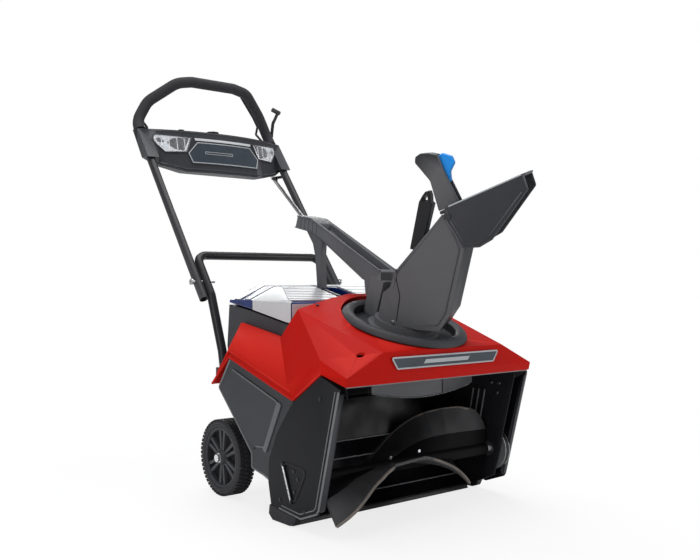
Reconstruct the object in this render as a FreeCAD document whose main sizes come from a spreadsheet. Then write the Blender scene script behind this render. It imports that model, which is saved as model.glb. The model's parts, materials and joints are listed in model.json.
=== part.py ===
"""Single stage snowblower: a battery machine with a clearing rotor, a turning chute and a folding handle.

The machine is built in its own construction frame: X to the operator's left, Y rearwards from the
front edge of the side plates, Z up from the ground. Every sub-part is then placed by the same
shift, which puts the origin under the middle of the whole machine.
"""
import FreeCAD, Part
import math
import os
import re

import Sketcher
from FreeCAD import Placement, Rotation, Vector

os.makedirs("parts", exist_ok=True)
doc = FreeCAD.newDocument("snowblower")
sheet = doc.addObject("Spreadsheet::Sheet", "Sizes")

SIZES = {
    "half_width": 278.0,
    "plate_gauge": 4.0,
    "running_gap": 0.3,
    "bearing_gap": 0.05,
    "middle_y": 415.274,
    "middle_x": 0.0,
    # clearing rotor and its housing
    "rotor_y": 95.0,
    "rotor_z": 106.0,
    "rotor_middle_x": -12.0,
    "rotor_half_length": 248.0,
    "paddle_inner": 47.0,
    "paddle_gauge": 6.0,
    "core_gauge": 3.0,
    "core_tube_radius": 13.0,
    "shaft_radius": 8.0,
    "housing_radius": 110.0,
    "housing_gauge": 3.0,
    "belt_wall_x": 248.0,
    "belt_wall_gauge": 3.0,
    "bearing_radius": 17.4,
    # belt drive
    "motor_y": 330.0,
    "motor_z": 140.0,
    "motor_radius": 44.0,
    "motor_shaft_radius": 6.0,
    "motor_pulley_radius": 16.0,
    "rotor_pulley_radius": 46.0,
    "pulley_x": 254.0,
    "pulley_width": 14.0,
    "belt_gauge": 4.0,
    # frame, wheels
    "frame_half": 196.0,
    "frame_gauge": 8.0,
    "spine_half": 20.0,
    "axle_y": 470.6,
    "axle_radius": 6.0,
    "axle_half": 262.0,
    "wheel_radius": 89.0,
    "rim_radius": 66.0,
    "wheel_outer_x": 258.0,
    "wheel_width": 42.0,
    # chute, measured along its own tilted turning axis
    "chute_y": 120.0,
    "chute_z": 401.3,
    "hood_slope": 18.0,
    "chute_turn": 33.0,
    "ring_radius": 142.0,
    "ring_inner": 119.0,
    "collar_radius": 67.0,
    "flange_radius": 80.0,
    "chute_half": 60.0,
    "chute_wall": 3.0,
    "deflector_half": 65.0,
    "gear_teeth": 56.0,
    "pinion_teeth": 10.0,
    "gear_module": 3.0,
    "pinion_distance": 99.0,
    "pitch_pin_s": 54.0,
    "pitch_pin_z": 268.0,
    "pin_radius": 4.0,
    "trigger_pin_s": 7.0,
    "trigger_pin_z": 351.0,
    # handle
    "tube_radius": 11.1,
    "tube_wall": 1.6,
    "grip_radius": 15.5,
    "upper_leg_x": 220.0,
    "lower_leg_x": 196.5,
    "fold_y": 639.0,
    "fold_z": 498.0,
    "fold_bolt_radius": 4.0,
    "rod_radius": 5.0,
    "bail_radius": 3.5,
    "loop_bend": 58.0,
}
for number, (alias, amount) in enumerate(SIZES.items(), start=1):
    sheet.set(f"A{number}", alias)
    sheet.set(f"B{number}", str(amount))
    sheet.setAlias(f"B{number}", alias)
doc.recompute()

X_AXIS = Vector(1, 0, 0)
Y_AXIS = Vector(0, 1, 0)
Z_AXIS = Vector(0, 0, 1)


# ---------------------------------------------------------------- helpers

def size(expression):
    """The value of a number or of an expression in the sheet's names."""
    if isinstance(expression, str):
        return float(sheet.evalExpression(expression))
    return float(expression)


def bound(expression):
    """The same expression as another object of the document has to write it."""
    return re.sub(r"[a-z]\w*", lambda word: "Sizes." + word.group(), expression)


def machine_place():
    """The placement that every sub-part of the machine's own frame shares."""
    return Placement(Vector(-size("middle_x"), -size("middle_y"), 0), Rotation())


def chute_place(turn=0.0):
    """A frame on the hood with +Z along the chute's axis and -Y the way the chute throws."""
    origin = Vector(-size("middle_x"), size("chute_y - middle_y"), size("chute_z"))
    return Placement(origin, Rotation(X_AXIS, size("hood_slope")) * Rotation(Z_AXIS, turn))


def make_body(label, place=None):
    body = doc.addObject("PartDesign::Body", label)
    body.Label = label
    body.Placement = place or machine_place()
    return body


def make_sketch(body, role, offset=0.0):
    """A sketch on one of the body's own origin planes, moved along that plane's normal."""
    count = len([item for item in body.Group if item.isDerivedFrom("Sketcher::SketchObject")])
    sketch = body.newObject("Sketcher::SketchObject", f"{body.Label}_sketch{count}")
    plane = next(item for item in body.Origin.OriginFeatures if item.Role == role)
    sketch.AttachmentSupport = [(plane, "")]
    sketch.MapMode = "FlatFace"
    if isinstance(offset, str):
        sketch.setExpression("AttachmentOffset.Base.z", bound(offset))
    else:
        sketch.AttachmentOffset = Placement(Vector(0, 0, offset), Rotation())
    return sketch


def bind_point(sketch, geometry, position, corner):
    """Tie a point of the sketch to the sheet where its coordinates are expressions."""
    for kind, part in (("DistanceX", corner[0]), ("DistanceY", corner[1])):
        if isinstance(part, str):
            datum = Sketcher.Constraint(kind, -1, 1, geometry, position, size(part))
            index = sketch.addConstraint(datum)
            sketch.setExpression(f"Constraints[{index}]", bound(part))


def outline(sketch, corners):
    """A closed outline of straight sides; a coordinate is a number or an expression."""
    points = [Vector(size(u), size(v), 0) for u, v in corners]
    following = points[1:] + points[:1]
    lines = [Part.LineSegment(start, end) for start, end in zip(points, following)]
    first = sketch.addGeometry(lines, False)[0]
    count = len(corners)
    for index in range(count):
        after = (index + 1) % count
        sketch.addConstraint(Sketcher.Constraint("Coincident", first + index, 2, first + after, 1))
    for index, corner in enumerate(corners):
        bind_point(sketch, first + index, 1, corner)


def circle(sketch, centre, radius):
    middle = Vector(size(centre[0]), size(centre[1]), 0)
    index = sketch.addGeometry(Part.Circle(middle, Vector(0, 0, 1), size(radius)), False)
    bind_point(sketch, index, 3, centre)
    if isinstance(radius, str):
        datum = sketch.addConstraint(Sketcher.Constraint("Radius", index, size(radius)))
        sketch.setExpression(f"Constraints[{datum}]", bound(radius))


def feature(body, kind, sketch, length, reverse=False):
    """A pad or pocket of the body from a sketch."""
    made = body.newObject(f"PartDesign::{kind}", f"{body.Label}_{kind.lower()}")
    made.Profile = sketch
    made.Reversed = reverse
    if isinstance(length, str):
        made.setExpression("Length", bound(length))
    else:
        made.Length = length
    sketch.Visibility = False
    return made


def pad(body, role, offset, corners, length):
    sketch = make_sketch(body, role, offset)
    outline(sketch, corners)
    return feature(body, "Pad", sketch, length)


def pocket(body, role, offset, corners, length):
    """Cut from the sketch towards the plane's positive normal."""
    sketch = make_sketch(body, role, offset)
    outline(sketch, corners)
    return feature(body, "Pocket", sketch, length, reverse=True)


def round_pad(body, role, offset, centre, radius, length, bore=None):
    sketch = make_sketch(body, role, offset)
    circle(sketch, centre, radius)
    if bore is not None:
        circle(sketch, centre, bore)
    return feature(body, "Pad", sketch, length)


def round_pocket(body, role, offset, centre, radius, length):
    sketch = make_sketch(body, role, offset)
    circle(sketch, centre, radius)
    return feature(body, "Pocket", sketch, length, reverse=True)


def revolve(body, corners, angle=360.0):
    """Turn a profile of (radius, height) corners about the body's own Z axis."""
    sketch = make_sketch(body, "XZ_Plane")
    outline(sketch, corners)
    made = body.newObject("PartDesign::Revolution", f"{body.Label}_revolution")
    made.Profile = sketch
    made.ReferenceAxis = (sketch, ["V_Axis"])
    made.Angle = angle
    return made


def placed_feature(label, shape, place=None):
    """A sub-part whose shape comes from Part's own functions."""
    made = doc.addObject("Part::Feature", label)
    made.Label = label
    made.Shape = shape
    made.Placement = place or machine_place()
    return made


def mirrored(points):
    """Points on the other side of the machine's middle plane."""
    return [Vector(-point.x, point.y, point.z) for point in points]


def rounded_path(points, radius):
    """A wire of straight runs joined by tangent arcs."""
    edges = []
    start = points[0]
    for before, corner, after in zip(points, points[1:], points[2:]):
        back = (before - corner).normalize()
        ahead = (after - corner).normalize()
        half = back.getAngle(ahead) / 2
        reach = radius / math.tan(half)
        entry = corner + back * reach
        leave = corner + ahead * reach
        inward = (back + ahead).normalize()
        middle = corner + inward * (radius / math.sin(half) - radius)
        edges.append(Part.LineSegment(start, entry).toShape())
        edges.append(Part.Arc(entry, middle, leave).toShape())
        start = leave
    edges.append(Part.LineSegment(start, points[-1]).toShape())
    return Part.Wire(edges)


def swept_round(path, radius):
    """A round bar along a wire."""
    first = path.Edges[0]
    heading = first.tangentAt(first.FirstParameter)
    section = Part.Wire(Part.makeCircle(radius, path.Vertexes[0].Point, heading))
    return path.makePipeShell([section], True, False)


def bent_tube(points, bend, outer, inner):
    """A bent tube with an open bore."""
    path = rounded_path(points, bend)
    return swept_round(path, outer).cut(swept_round(path, inner))


def rod_between(start, end, radius):
    return Part.makeCylinder(radius, (end - start).Length, start, end - start)


def solid_from_faces(corners, faces):
    """A closed solid with flat faces, given by the names of its corners."""
    made = []
    for face in faces:
        ring = [corners[name] for name in face]
        made.append(Part.Face(Part.makePolygon(ring + ring[:1])))
    shell = Part.Shell(made)
    solid = Part.Solid(shell)
    if solid.Volume < 0:
        solid.reverse()
    return solid


# ---------------------------------------------------------------- clearing housing

def side_plate(label, side):
    """An end plate with its pressed triangular recess and a folded front lip, narrower beside the belt."""
    body = make_body(label)
    inner = "half_width - plate_gauge" if side > 0 else "-half_width"
    rim = [(1.5, 293), (65, 47), (70, 40), (124, 20), (228, 30), (239, 78), (236, 126),
           (208, 183), (149, 254), (58, 314.5)]
    pad(body, "YZ_Plane", inner, rim, "plate_gauge")
    lip_width = 5 if side > 0 else 12
    lip_start = f"half_width - plate_gauge - {lip_width}" if side > 0 else "-half_width + plate_gauge"
    lip = [(4, 283.5), (64.5, 48.5), (70, 45), (74, 52), (10, 285)]
    pad(body, "YZ_Plane", lip_start, lip, lip_width)
    recess = [(182, 126), (106, 121), (150, 48)]
    face = "half_width - 1.5" if side > 0 else "-half_width"
    pocket(body, "YZ_Plane", face, recess, 1.5)


def auger_housing():
    """The curved back of the rotor chamber and the roof that carries the discharge duct."""
    radius = size("housing_radius")
    gauge = size("housing_gauge")
    axis = Vector(0, size("rotor_y"), size("rotor_z"))

    def on_arc(reach, degrees):
        angle = math.radians(degrees)
        return axis + Vector(0, reach * math.cos(angle), reach * math.sin(angle))

    def side_of_wall(reach, top_y):
        lowest, middle, highest = (on_arc(reach, angle) for angle in (-58, -16, 25))
        bend = Vector(0, top_y - 14, 232)
        top = Vector(0, top_y, 322)
        return lowest, middle, highest, bend, top

    inside = side_of_wall(radius, 226)
    outside = side_of_wall(radius + gauge, 229)
    edges = [Part.Arc(*inside[:3]).toShape()]
    edges += [Part.makeLine(inside[2], inside[3]), Part.makeLine(inside[3], inside[4])]
    edges.append(Part.makeLine(inside[4], outside[4]))
    edges += [Part.makeLine(outside[4], outside[3]), Part.makeLine(outside[3], outside[2])]
    edges += [Part.Arc(outside[2], outside[1], outside[0]).toShape()]
    edges.append(Part.makeLine(outside[0], inside[0]))
    start = -size("half_width - 2 * plate_gauge + 0.5 - running_gap")
    length = size("belt_wall_x - running_gap") - start
    wall = Part.Face(Part.Wire(edges)).extrude(Vector(length, 0, 0))
    wall.translate(Vector(start, 0, 0))
    roof_side = [Vector(-258, y, z) for y, z in ((8, 301), (227, 319), (227, 322), (8, 304))]
    roof = Part.Face(Part.makePolygon(roof_side + roof_side[:1])).extrude(Vector(258 + 247.7, 0, 0))
    opening = Part.makeBox(200, 134, 60, Vector(-100, 66, 280))
    above_hood = Part.makeBox(700, 500, 250, Vector(-350, -50, 240)).cut(hood_solid(5))
    housing = wall.fuse(roof).removeSplitter().cut(opening).cut(above_hood)
    placed_feature("auger_housing", housing)


def belt_side_wall():
    """The inner end wall that shuts the belt space off from the rotor chamber."""
    body = make_body("belt_side_wall")
    rim = [(12, 296), (76, 46), (124, 24), (150, 16), (228, 38), (230, 296), (180, 310), (16, 304)]
    pad(body, "YZ_Plane", "belt_wall_x", rim, "belt_wall_gauge")
    round_pocket(body, "YZ_Plane", "belt_wall_x - 1", ("rotor_y", "rotor_z"),
                 "bearing_radius + bearing_gap", 10)


def throat_plate():
    """The curved front plate of the discharge throat, seen at the top of the intake."""
    thickness = 3.0
    left = Vector(-146, 58, 300)
    right = Vector(146, 58, 300)
    low_left = Vector(-146, 58, 270)
    low_right = Vector(146, 58, 270)
    edges = [Part.makeLine(low_left, left), Part.makeLine(left, right), Part.makeLine(right, low_right)]
    edges.append(Part.Arc(low_right, Vector(0, 58, 252), low_left).toShape())
    placed_feature("throat_plate", Part.Face(Part.Wire(edges)).extrude(Vector(0, thickness, 0)))


def scraper_bar():
    """The wear bar behind the rotor, which carries the front of the machine on the ground."""
    body = make_body("scraper_bar")
    rim = [(157, 0), (202, 0), (202, 6), (176, 15), (161, 9)]
    pad(body, "YZ_Plane", "-(half_width - plate_gauge - running_gap)", rim,
        "half_width - plate_gauge + belt_wall_x - 2 * running_gap")


def discharge_duct():
    """The funnel from the opening in the roof to the round foot of the chute."""
    wall = 3.0
    tilt = math.radians(size("hood_slope"))
    axis = Vector(0, -math.sin(tilt), math.cos(tilt))
    centre = Vector(0, size("chute_y"), size("chute_z")) - axis * 42

    def funnel(grow):
        low = [(-98 - grow, 68 - grow), (98 + grow, 68 - grow), (98 + grow, 198 + grow),
               (-98 - grow, 198 + grow)]
        ring = [Vector(x, y, 306 + (y - 8) * 18 / 219) for x, y in low]
        mouth = Part.Wire(Part.makeCircle(68 + grow, centre, axis))
        return Part.makeLoft([Part.makePolygon(ring + ring[:1]), mouth], True, True)

    placed_feature("discharge_duct", funnel(0).cut(funnel(-wall)))


# ---------------------------------------------------------------- rotor and drive

# Where each paddle stands along the rotor: distance along X from the housing's middle plane, the
# angle from straight down towards the front, and the radius that the paddle reaches.
FRONT_PADDLE = [(-260, 38, 104), (-200, 86, 104), (-138, 105, 104), (-47, 108, 104), (20, 93, 104),
                (61, 78, 104), (93, 62, 99), (106, 54, 86), (114, 49, 64)]
REAR_PADDLE = [(-64, 287, 64), (-56, 283, 86), (-40, 277, 98), (0, 262, 104), (40, 236, 104),
               (80, 210, 104), (120, 195, 104), (176, 185, 103), (208, 181, 92), (228, 180, 70),
               (236, 180, 50)]


def paddle_station(law, along):
    """The angle and reach of a paddle at a distance along the rotor."""
    for before, after in zip(law, law[1:]):
        if along <= after[0]:
            share = (along - before[0]) / (after[0] - before[0])
            return [low + share * (high - low) for low, high in zip(before[1:], after[1:])]
    return law[-1][1:]


def curved_blade(law, inner, gauge, reach=None, stations=19):
    """A blade that follows a paddle's law; a reach below the paddle's own makes its backing."""
    wires = []
    for index in range(stations):
        along = law[0][0] + (law[-1][0] - law[0][0]) * index / (stations - 1)
        degrees, tip = paddle_station(law, along)
        outer = tip if reach is None else reach
        angle = math.radians(degrees)
        radial = Vector(0, -math.sin(angle), -math.cos(angle))
        across = Vector(0, -math.cos(angle), math.sin(angle)) * (gauge / 2)
        middle = Vector(along, size("rotor_y"), size("rotor_z"))
        ring = [middle + radial * inner + across, middle + radial * outer + across,
                middle + radial * outer - across, middle + radial * inner - across]
        wires.append(Part.makePolygon(ring + ring[:1]))
    return Part.makeLoft(wires, True, True)


def rotor():
    """Shaft, steel core and the two rubber paddles, which turn together."""
    centre = Vector(0, size("rotor_y"), size("rotor_z"))
    shaft = doc.addObject("Part::Cylinder", "rotor_shaft")
    shaft.setExpression("Radius", bound("shaft_radius"))
    shaft.setExpression("Height", bound("half_width - plate_gauge - 1 + half_width - plate_gauge - 3"))
    foot = Vector(-size("half_width - plate_gauge - 1"), centre.y - size("middle_y"), centre.z)
    shaft.Placement = Placement(foot, Rotation(Y_AXIS, 90))
    tube_radius = size("core_tube_radius")
    left_end = size("rotor_middle_x - rotor_half_length")
    core_start = centre + Vector(left_end, 0, 0)
    core = Part.makeCylinder(tube_radius, size("2 * rotor_half_length"), core_start, X_AXIS)
    paddle_inner = size("paddle_inner")
    for label, law in (("front_paddle", FRONT_PADDLE), ("rear_paddle", REAR_PADDLE)):
        core = core.fuse(curved_blade(law, tube_radius - 1, size("core_gauge"), paddle_inner - 0.05))
        placed_feature(label, curved_blade(law, paddle_inner, size("paddle_gauge")))
    bore = size("shaft_radius + bearing_gap")
    core = core.cut(Part.makeCylinder(bore, 600, centre - X_AXIS * 300, X_AXIS))
    placed_feature("rotor_core", core)


def rotor_bearings():
    """The two flanged bearings of the rotor shaft."""
    rings = []
    for start, length in ((-273.7, 9.0), (246.0, 6.0)):
        foot = Vector(start, size("rotor_y"), size("rotor_z"))
        outer = Part.makeCylinder(size("bearing_radius"), length, foot, X_AXIS)
        rings.append(outer.cut(Part.makeCylinder(size("shaft_radius + bearing_gap"), length, foot, X_AXIS)))
    placed_feature("rotor_bearings", Part.makeCompound(rings))


def pulley(label, centre, radius, bore):
    """A flat belt pulley with two flanges."""
    body = make_body(label)
    round_pad(body, "YZ_Plane", "pulley_x", centre, radius, "pulley_width", bore)
    for offset in ("pulley_x", "pulley_x + pulley_width - 2"):
        round_pad(body, "YZ_Plane", offset, centre, radius + " + 4", 2, bore)


def drive_belt():
    """The belt around both pulleys, a running gap clear of each."""
    first = Vector(size("pulley_x + 2.5"), size("rotor_y"), size("rotor_z"))
    second = Vector(size("pulley_x + 2.5"), size("motor_y"), size("motor_z"))
    span = second - first

    def loop(extra):
        big = size("rotor_pulley_radius") + extra
        small = size("motor_pulley_radius") + extra
        lean = math.asin((big - small) / span.Length)
        heading = math.atan2(span.z, span.y)
        edges = []
        points = {}
        for name, sign in (("upper", 1), ("lower", -1)):
            angle = heading + sign * (math.pi / 2 - lean)
            out = Vector(0, math.cos(angle), math.sin(angle))
            points[name] = (first + out * big, second + out * small)
            edges.append(Part.makeLine(*points[name]))
        ahead = Vector(0, math.cos(heading), math.sin(heading))
        edges.append(Part.Arc(points["upper"][0], first - ahead * big, points["lower"][0]).toShape())
        edges.append(Part.Arc(points["upper"][1], second + ahead * small, points["lower"][1]).toShape())
        return Part.Face(Part.Wire(Part.__sortEdges__(edges)))

    gap = size("running_gap")
    placed_feature("drive_belt", loop(gap + size("belt_gauge")).cut(loop(gap)).extrude(X_AXIS * 9))


def motor():
    """The motor in the frame and its turning shaft."""
    body = make_body("drive_motor")
    centre = ("motor_y", "motor_z")
    bore = "motor_shaft_radius + bearing_gap"
    round_pad(body, "YZ_Plane", 70, centre, "motor_radius", 105)
    round_pad(body, "YZ_Plane", 175, centre, 18, 22)
    round_pocket(body, "YZ_Plane", 80, centre, bore, 130)
    shaft = make_body("motor_shaft")
    round_pad(shaft, "YZ_Plane", 84, centre, "motor_shaft_radius", "pulley_x + pulley_width + 1 - 84")
    pulley("motor_pulley", centre, "motor_pulley_radius", "motor_shaft_radius")


# ---------------------------------------------------------------- frame and wheels

def main_frame():
    """The moulded tray that joins the rotor housing to the axle and holds the motor."""
    body = make_body("main_frame")
    rim = [(234, 60), (300, 62), (452, 68), (490, 74), (500, 110), (500, 196), (234, 196)]
    pad(body, "YZ_Plane", "-frame_half", rim, "2 * frame_half")
    room = [("-frame_half + frame_gauge", 242), ("frame_half - frame_gauge", 242),
            ("frame_half - frame_gauge", 490), ("-frame_half + frame_gauge", 490)]
    pocket(body, "XY_Plane", 80, room, 200)
    round_pocket(body, "YZ_Plane", -300, ("axle_y", "wheel_radius"), "axle_radius + bearing_gap", 600)
    round_pocket(body, "YZ_Plane", 150, ("motor_y", "motor_z"), 19, 100)


def wheels():
    """Axle, and on each side a spoked hub with a treaded tyre."""
    axle = make_body("wheel_axle")
    round_pad(axle, "YZ_Plane", "-axle_half", ("axle_y", "wheel_radius"), "axle_radius", "2 * axle_half")
    nuts = []
    for start in (-size("axle_half") - 5.1, size("axle_half") + 0.1):
        foot = Vector(start, size("axle_y"), size("wheel_radius"))
        nuts.append(Part.makeCylinder(9, 5, foot, X_AXIS))
    placed_feature("axle_nuts", Part.makeCompound(nuts))
    for side_name, side in (("right", -1), ("left", 1)):
        wheel(side_name, side)


def wheel(side_name, side):
    """One wheel, built about its own axis with +Z pointing outwards."""
    centre = Vector(side * size("wheel_outer_x"), size("axle_y - middle_y"), size("wheel_radius"))
    place = Placement(centre, Rotation(Y_AXIS, 90 * side))
    hub = make_body(f"{side_name}_hub", place)
    width = size("wheel_width")
    bore = "axle_radius + bearing_gap"
    revolve(hub, [(bore, -width + 4), (15, -width + 4), (15, -16), (56, -14), (60, -width + 2),
                  ("rim_radius", -width + 2), ("rim_radius", -2), (60, -2), (56, -8), (15, -6), (15, 0),
                  (bore, 0)])
    window_sketch = make_sketch(hub, "XY_Plane", -20)
    outline(window_sketch, [(22, -3.5), (34, -11), (51, -14), (51, 14), (34, 11), (22, 3.5)])
    window = feature(hub, "Pocket", window_sketch, 30, reverse=True)
    windows = hub.newObject("PartDesign::PolarPattern", f"{side_name}_hub_windows")
    windows.Originals = [window]
    windows.Axis = (window_sketch, ["N_Axis"])
    windows.Angle = 360
    windows.Occurrences = 6
    hub.Tip = windows
    tyre = make_body(f"{side_name}_tyre", place)
    crown = "wheel_radius"
    shoulder = "wheel_radius - 6"
    seat = "rim_radius + 0.05"
    revolve(tyre, [(seat, -width), (shoulder, -width), (crown, -width + 5), (crown, -5), (shoulder, 0), (seat, 0)])
    groove_sketch = make_sketch(tyre, "XY_Plane", -width - 1)
    outline(groove_sketch, [(84, -2.2), (92, -2.6), (92, 2.6), (84, 2.2)])
    groove = feature(tyre, "Pocket", groove_sketch, 15, reverse=True)
    grooves = tyre.newObject("PartDesign::PolarPattern", f"{side_name}_tyre_tread")
    grooves.Originals = [groove]
    grooves.Axis = (groove_sketch, ["N_Axis"])
    grooves.Angle = 360
    grooves.Occurrences = 26
    tyre.Tip = grooves


# ---------------------------------------------------------------- covers

HOOD_FACES = [
    ["A1", "A2", "a2", "a1"], ["A2", "A3", "a3", "a2"], ["A1", "a1", "b1", "B1"],
    ["B1", "b1", "n1", "N1"], ["N1", "n1", "d1", "D1"], ["D1", "d1", "d2", "D2"],
    ["D2", "d2", "f1", "F1"], ["F1", "f1", "g1", "G1"], ["G1", "g1", "h1", "H1"],
    ["H1", "h1", "k1", "K1"], ["K1", "k1", "e1", "E1"], ["E1", "e1", "b3", "B3"],
    ["B3", "b3", "a3", "A3"],
]
HOOD_SIDE = ["a1 a2 b2", "a1 b2 b1", "b1 b2 c1", "a2 a3 b3", "a2 b3 b2", "b2 b3 e1", "b2 e1 e2",
             "b2 e2 d2", "b2 d2 c1", "c1 d2 d1", "d2 e2 g1", "d2 g1 f1", "e2 e1 k1", "e2 k1 g1",
             "g1 k1 h1", "b1 c1 m1", "b1 m1 n1", "c1 d1 m1", "m1 d1 n1"]


def hood_solid(inset):
    """The hood's faceted body; an inset gives the hollow that leaves an even wall."""
    drop = 30.0 if inset else 0.0
    left = {
        "a1": Vector(175 - inset, -10 + inset, 360 - inset),
        "a2": Vector(270 - inset * 1.4, -13 + inset, 315 - inset * 0.6),
        "a3": Vector(270 - inset * 1.4, -9 + inset, 298 - drop),
        "b1": Vector(188 - inset, 110, 398.2 - inset),
        "b2": Vector(262 - inset, 81, 344 - inset),
        "b3": Vector(278 - inset, 58, 318 - drop),
        "c1": Vector(200 - inset, 240 - inset, 439.5 - inset),
        "m1": Vector(100 - inset * 0.4, 257 - inset, 461 - inset),
        "n1": Vector(40, 262 - inset, 471 - inset),
        "d1": Vector(200 - inset, 270 - inset, 409 - inset),
        "d2": Vector(212 - inset, 290, 375 - inset),
        "e2": Vector(272 - inset, 180, 285 - inset),
        "e1": Vector(278 - inset, 152, 257 - drop),
        "f1": Vector(204 - inset, 462 - inset, 402 - inset),
        "g1": Vector(266 - inset, 412 - inset, 354 - inset),
        "k1": Vector(278 - inset, 398 - inset, 328 - drop),
        "h1": Vector(278 - inset, 470 - inset, 262 - drop),
    }
    corners = dict(left)
    for name, point in left.items():
        corners[name.upper()] = Vector(-point.x, point.y, point.z)
    faces = list(HOOD_FACES)
    for names in HOOD_SIDE:
        faces.append(names.split())
        faces.append(names.upper().split()[::-1])
    return solid_from_faces(corners, faces)


def hood():
    """The red shroud over the rotor housing, with flared rear sides and the chute opening."""
    wall = 3.5
    shell = hood_solid(0).cut(hood_solid(wall))
    box_room = Part.makeBox(2 * 198, 400, 500, Vector(-198, 271.5, 200))
    tilt = math.radians(size("hood_slope"))
    axis = Vector(0, -math.sin(tilt), math.cos(tilt))
    centre = Vector(0, size("chute_y"), size("chute_z"))
    opening = Part.makeCylinder(size("ring_inner") - 1, 80, centre - axis * 40, axis)
    finger_hole = Part.makeCylinder(8, 60, Vector(-206, 32, 324), Vector(0, -0.3, 1))
    rim_room = Part.makeCylinder(size("ring_radius") + 0.8, 40, centre + axis * 1.6, axis)
    placed_feature("hood", shell.cut(box_room).cut(opening).cut(finger_hole).cut(rim_room))


def hood_badge():
    """A plain name plate on the front face of the hood, without any lettering."""
    body = make_body("hood_badge")
    pad(body, "XZ_Plane", 13.2, [(-141, 326), (141, 326), (156, 348), (-156, 348)], 1.8)


def side_cover(label, side):
    """The rear side cover between the hood's flare and the wheel."""
    body = make_body(label)
    rim = [(153.5, 255.5), (168, 259), (395, 325), (446, 257), (374, 190), (307, 126), (307, 95),
           (262, 87), (242.5, 80), (239.5, 127.5), (211.5, 185)]
    outer = "half_width - 2 * plate_gauge + 0.5" if side > 0 else "-(half_width - plate_gauge)"
    pad(body, "YZ_Plane", outer, rim, "plate_gauge - 0.5")
    rib = [(244, 172), (296, 172), (296, 186), (244, 186)]
    web = "frame_half + running_gap" if side > 0 else "-(half_width - plate_gauge - 1)"
    pad(body, "YZ_Plane", web, rib, "half_width - plate_gauge - 1 - frame_half - running_gap")


def battery_box():
    """The grey box that takes the two battery packs, with the rib that the tower's leg stands on."""
    body = make_body("battery_box")
    rim = [(272.5, 197), (518, 197), (540, 344), (531, 444), (424, 428.5), (297, 405.5), (272.5, 402)]
    pad(body, "YZ_Plane", "-frame_half", rim, "2 * frame_half")
    spine = [(276, 398), (297, 402), (424, 425), (424, 483), (400, 480), (276, 448)]
    pad(body, "YZ_Plane", "-spine_half", spine, "2 * spine_half")
    for low, high in (("-frame_half + 5", "-6"), ("6", "frame_half - 5")):
        room = [(low, 279), (high, 279), (high, 513), (low, 513)]
        pocket(body, "XY_Plane", 204, room, 300)


def battery_packs():
    """The two battery packs, each with a carrying recess in its top."""
    for label, start in (("right_battery_pack", -176), ("left_battery_pack", 44)):
        body = make_body(label)
        pad(body, "XY_Plane", 205, [(start, 296), (start + 132, 296), (start + 132, 456), (start, 456)], 176)
        grip = [(start + 26, 350), (start + 106, 350), (start + 106, 390), (start + 26, 390)]
        pocket(body, "XY_Plane", 361, grip, 40)


def battery_lid():
    """The lid over the battery bays, split by a notch for the chute tower and its spine."""
    body = make_body("battery_lid")
    side = [(273, 405.5), (297, 409), (424, 432), (533, 447.8), (523, 489), (400, 484), (273, 452)]
    pad(body, "YZ_Plane", -194, side, 388)
    tall = [(279, 380), (519, 380), (519, 466), (514, 480), (400, 478), (279, 447)]
    low_room = [(279, 380), (519, 380), (519, 449), (279, 446)]
    rooms = ((-118, -40, tall), (40, 118, tall), (-186, -118, low_room), (118, 186, low_room))
    for start, end, room in rooms:
        pocket(body, "YZ_Plane", start, room, end - start)
    notch = [(-34, 260), (34, 260), (34, 432), (-34, 432)]
    pocket(body, "XY_Plane", 380, notch, 200)
    for corners in ([(112, 492), (200, 492), (200, 452)], [(-112, 492), (-200, 452), (-200, 492)]):
        sketch = make_sketch(body, "XZ_Plane", -600)
        outline(sketch, corners)
        feature(body, "Pocket", sketch, 400, reverse=True)
    for start in (-90, 50):
        round_pad(body, "YZ_Plane", start, (531, 450), 5, 40)


# ---------------------------------------------------------------- chute

def chute_ring():
    """The fixed collar on the hood, with the floor that the chute turns on."""
    body = make_body("chute_ring", chute_place())
    rim = [(70.5, -9), ("ring_inner - 1.5", -9), ("ring_inner - 1.5", 1.7), ("ring_radius - 2", 1.7),
           ("ring_radius", 4), ("ring_radius - 3", 11), ("ring_radius - 10", 16), ("ring_inner + 3", 16),
           ("ring_inner - 4.5", 12), ("ring_inner - 4.5", -5), (70.5, -5)]
    revolve(body, rim)
    round_pocket(body, "XY_Plane", -12, (0, "pinion_distance"), "pin_radius + bearing_gap", 10)


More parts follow.
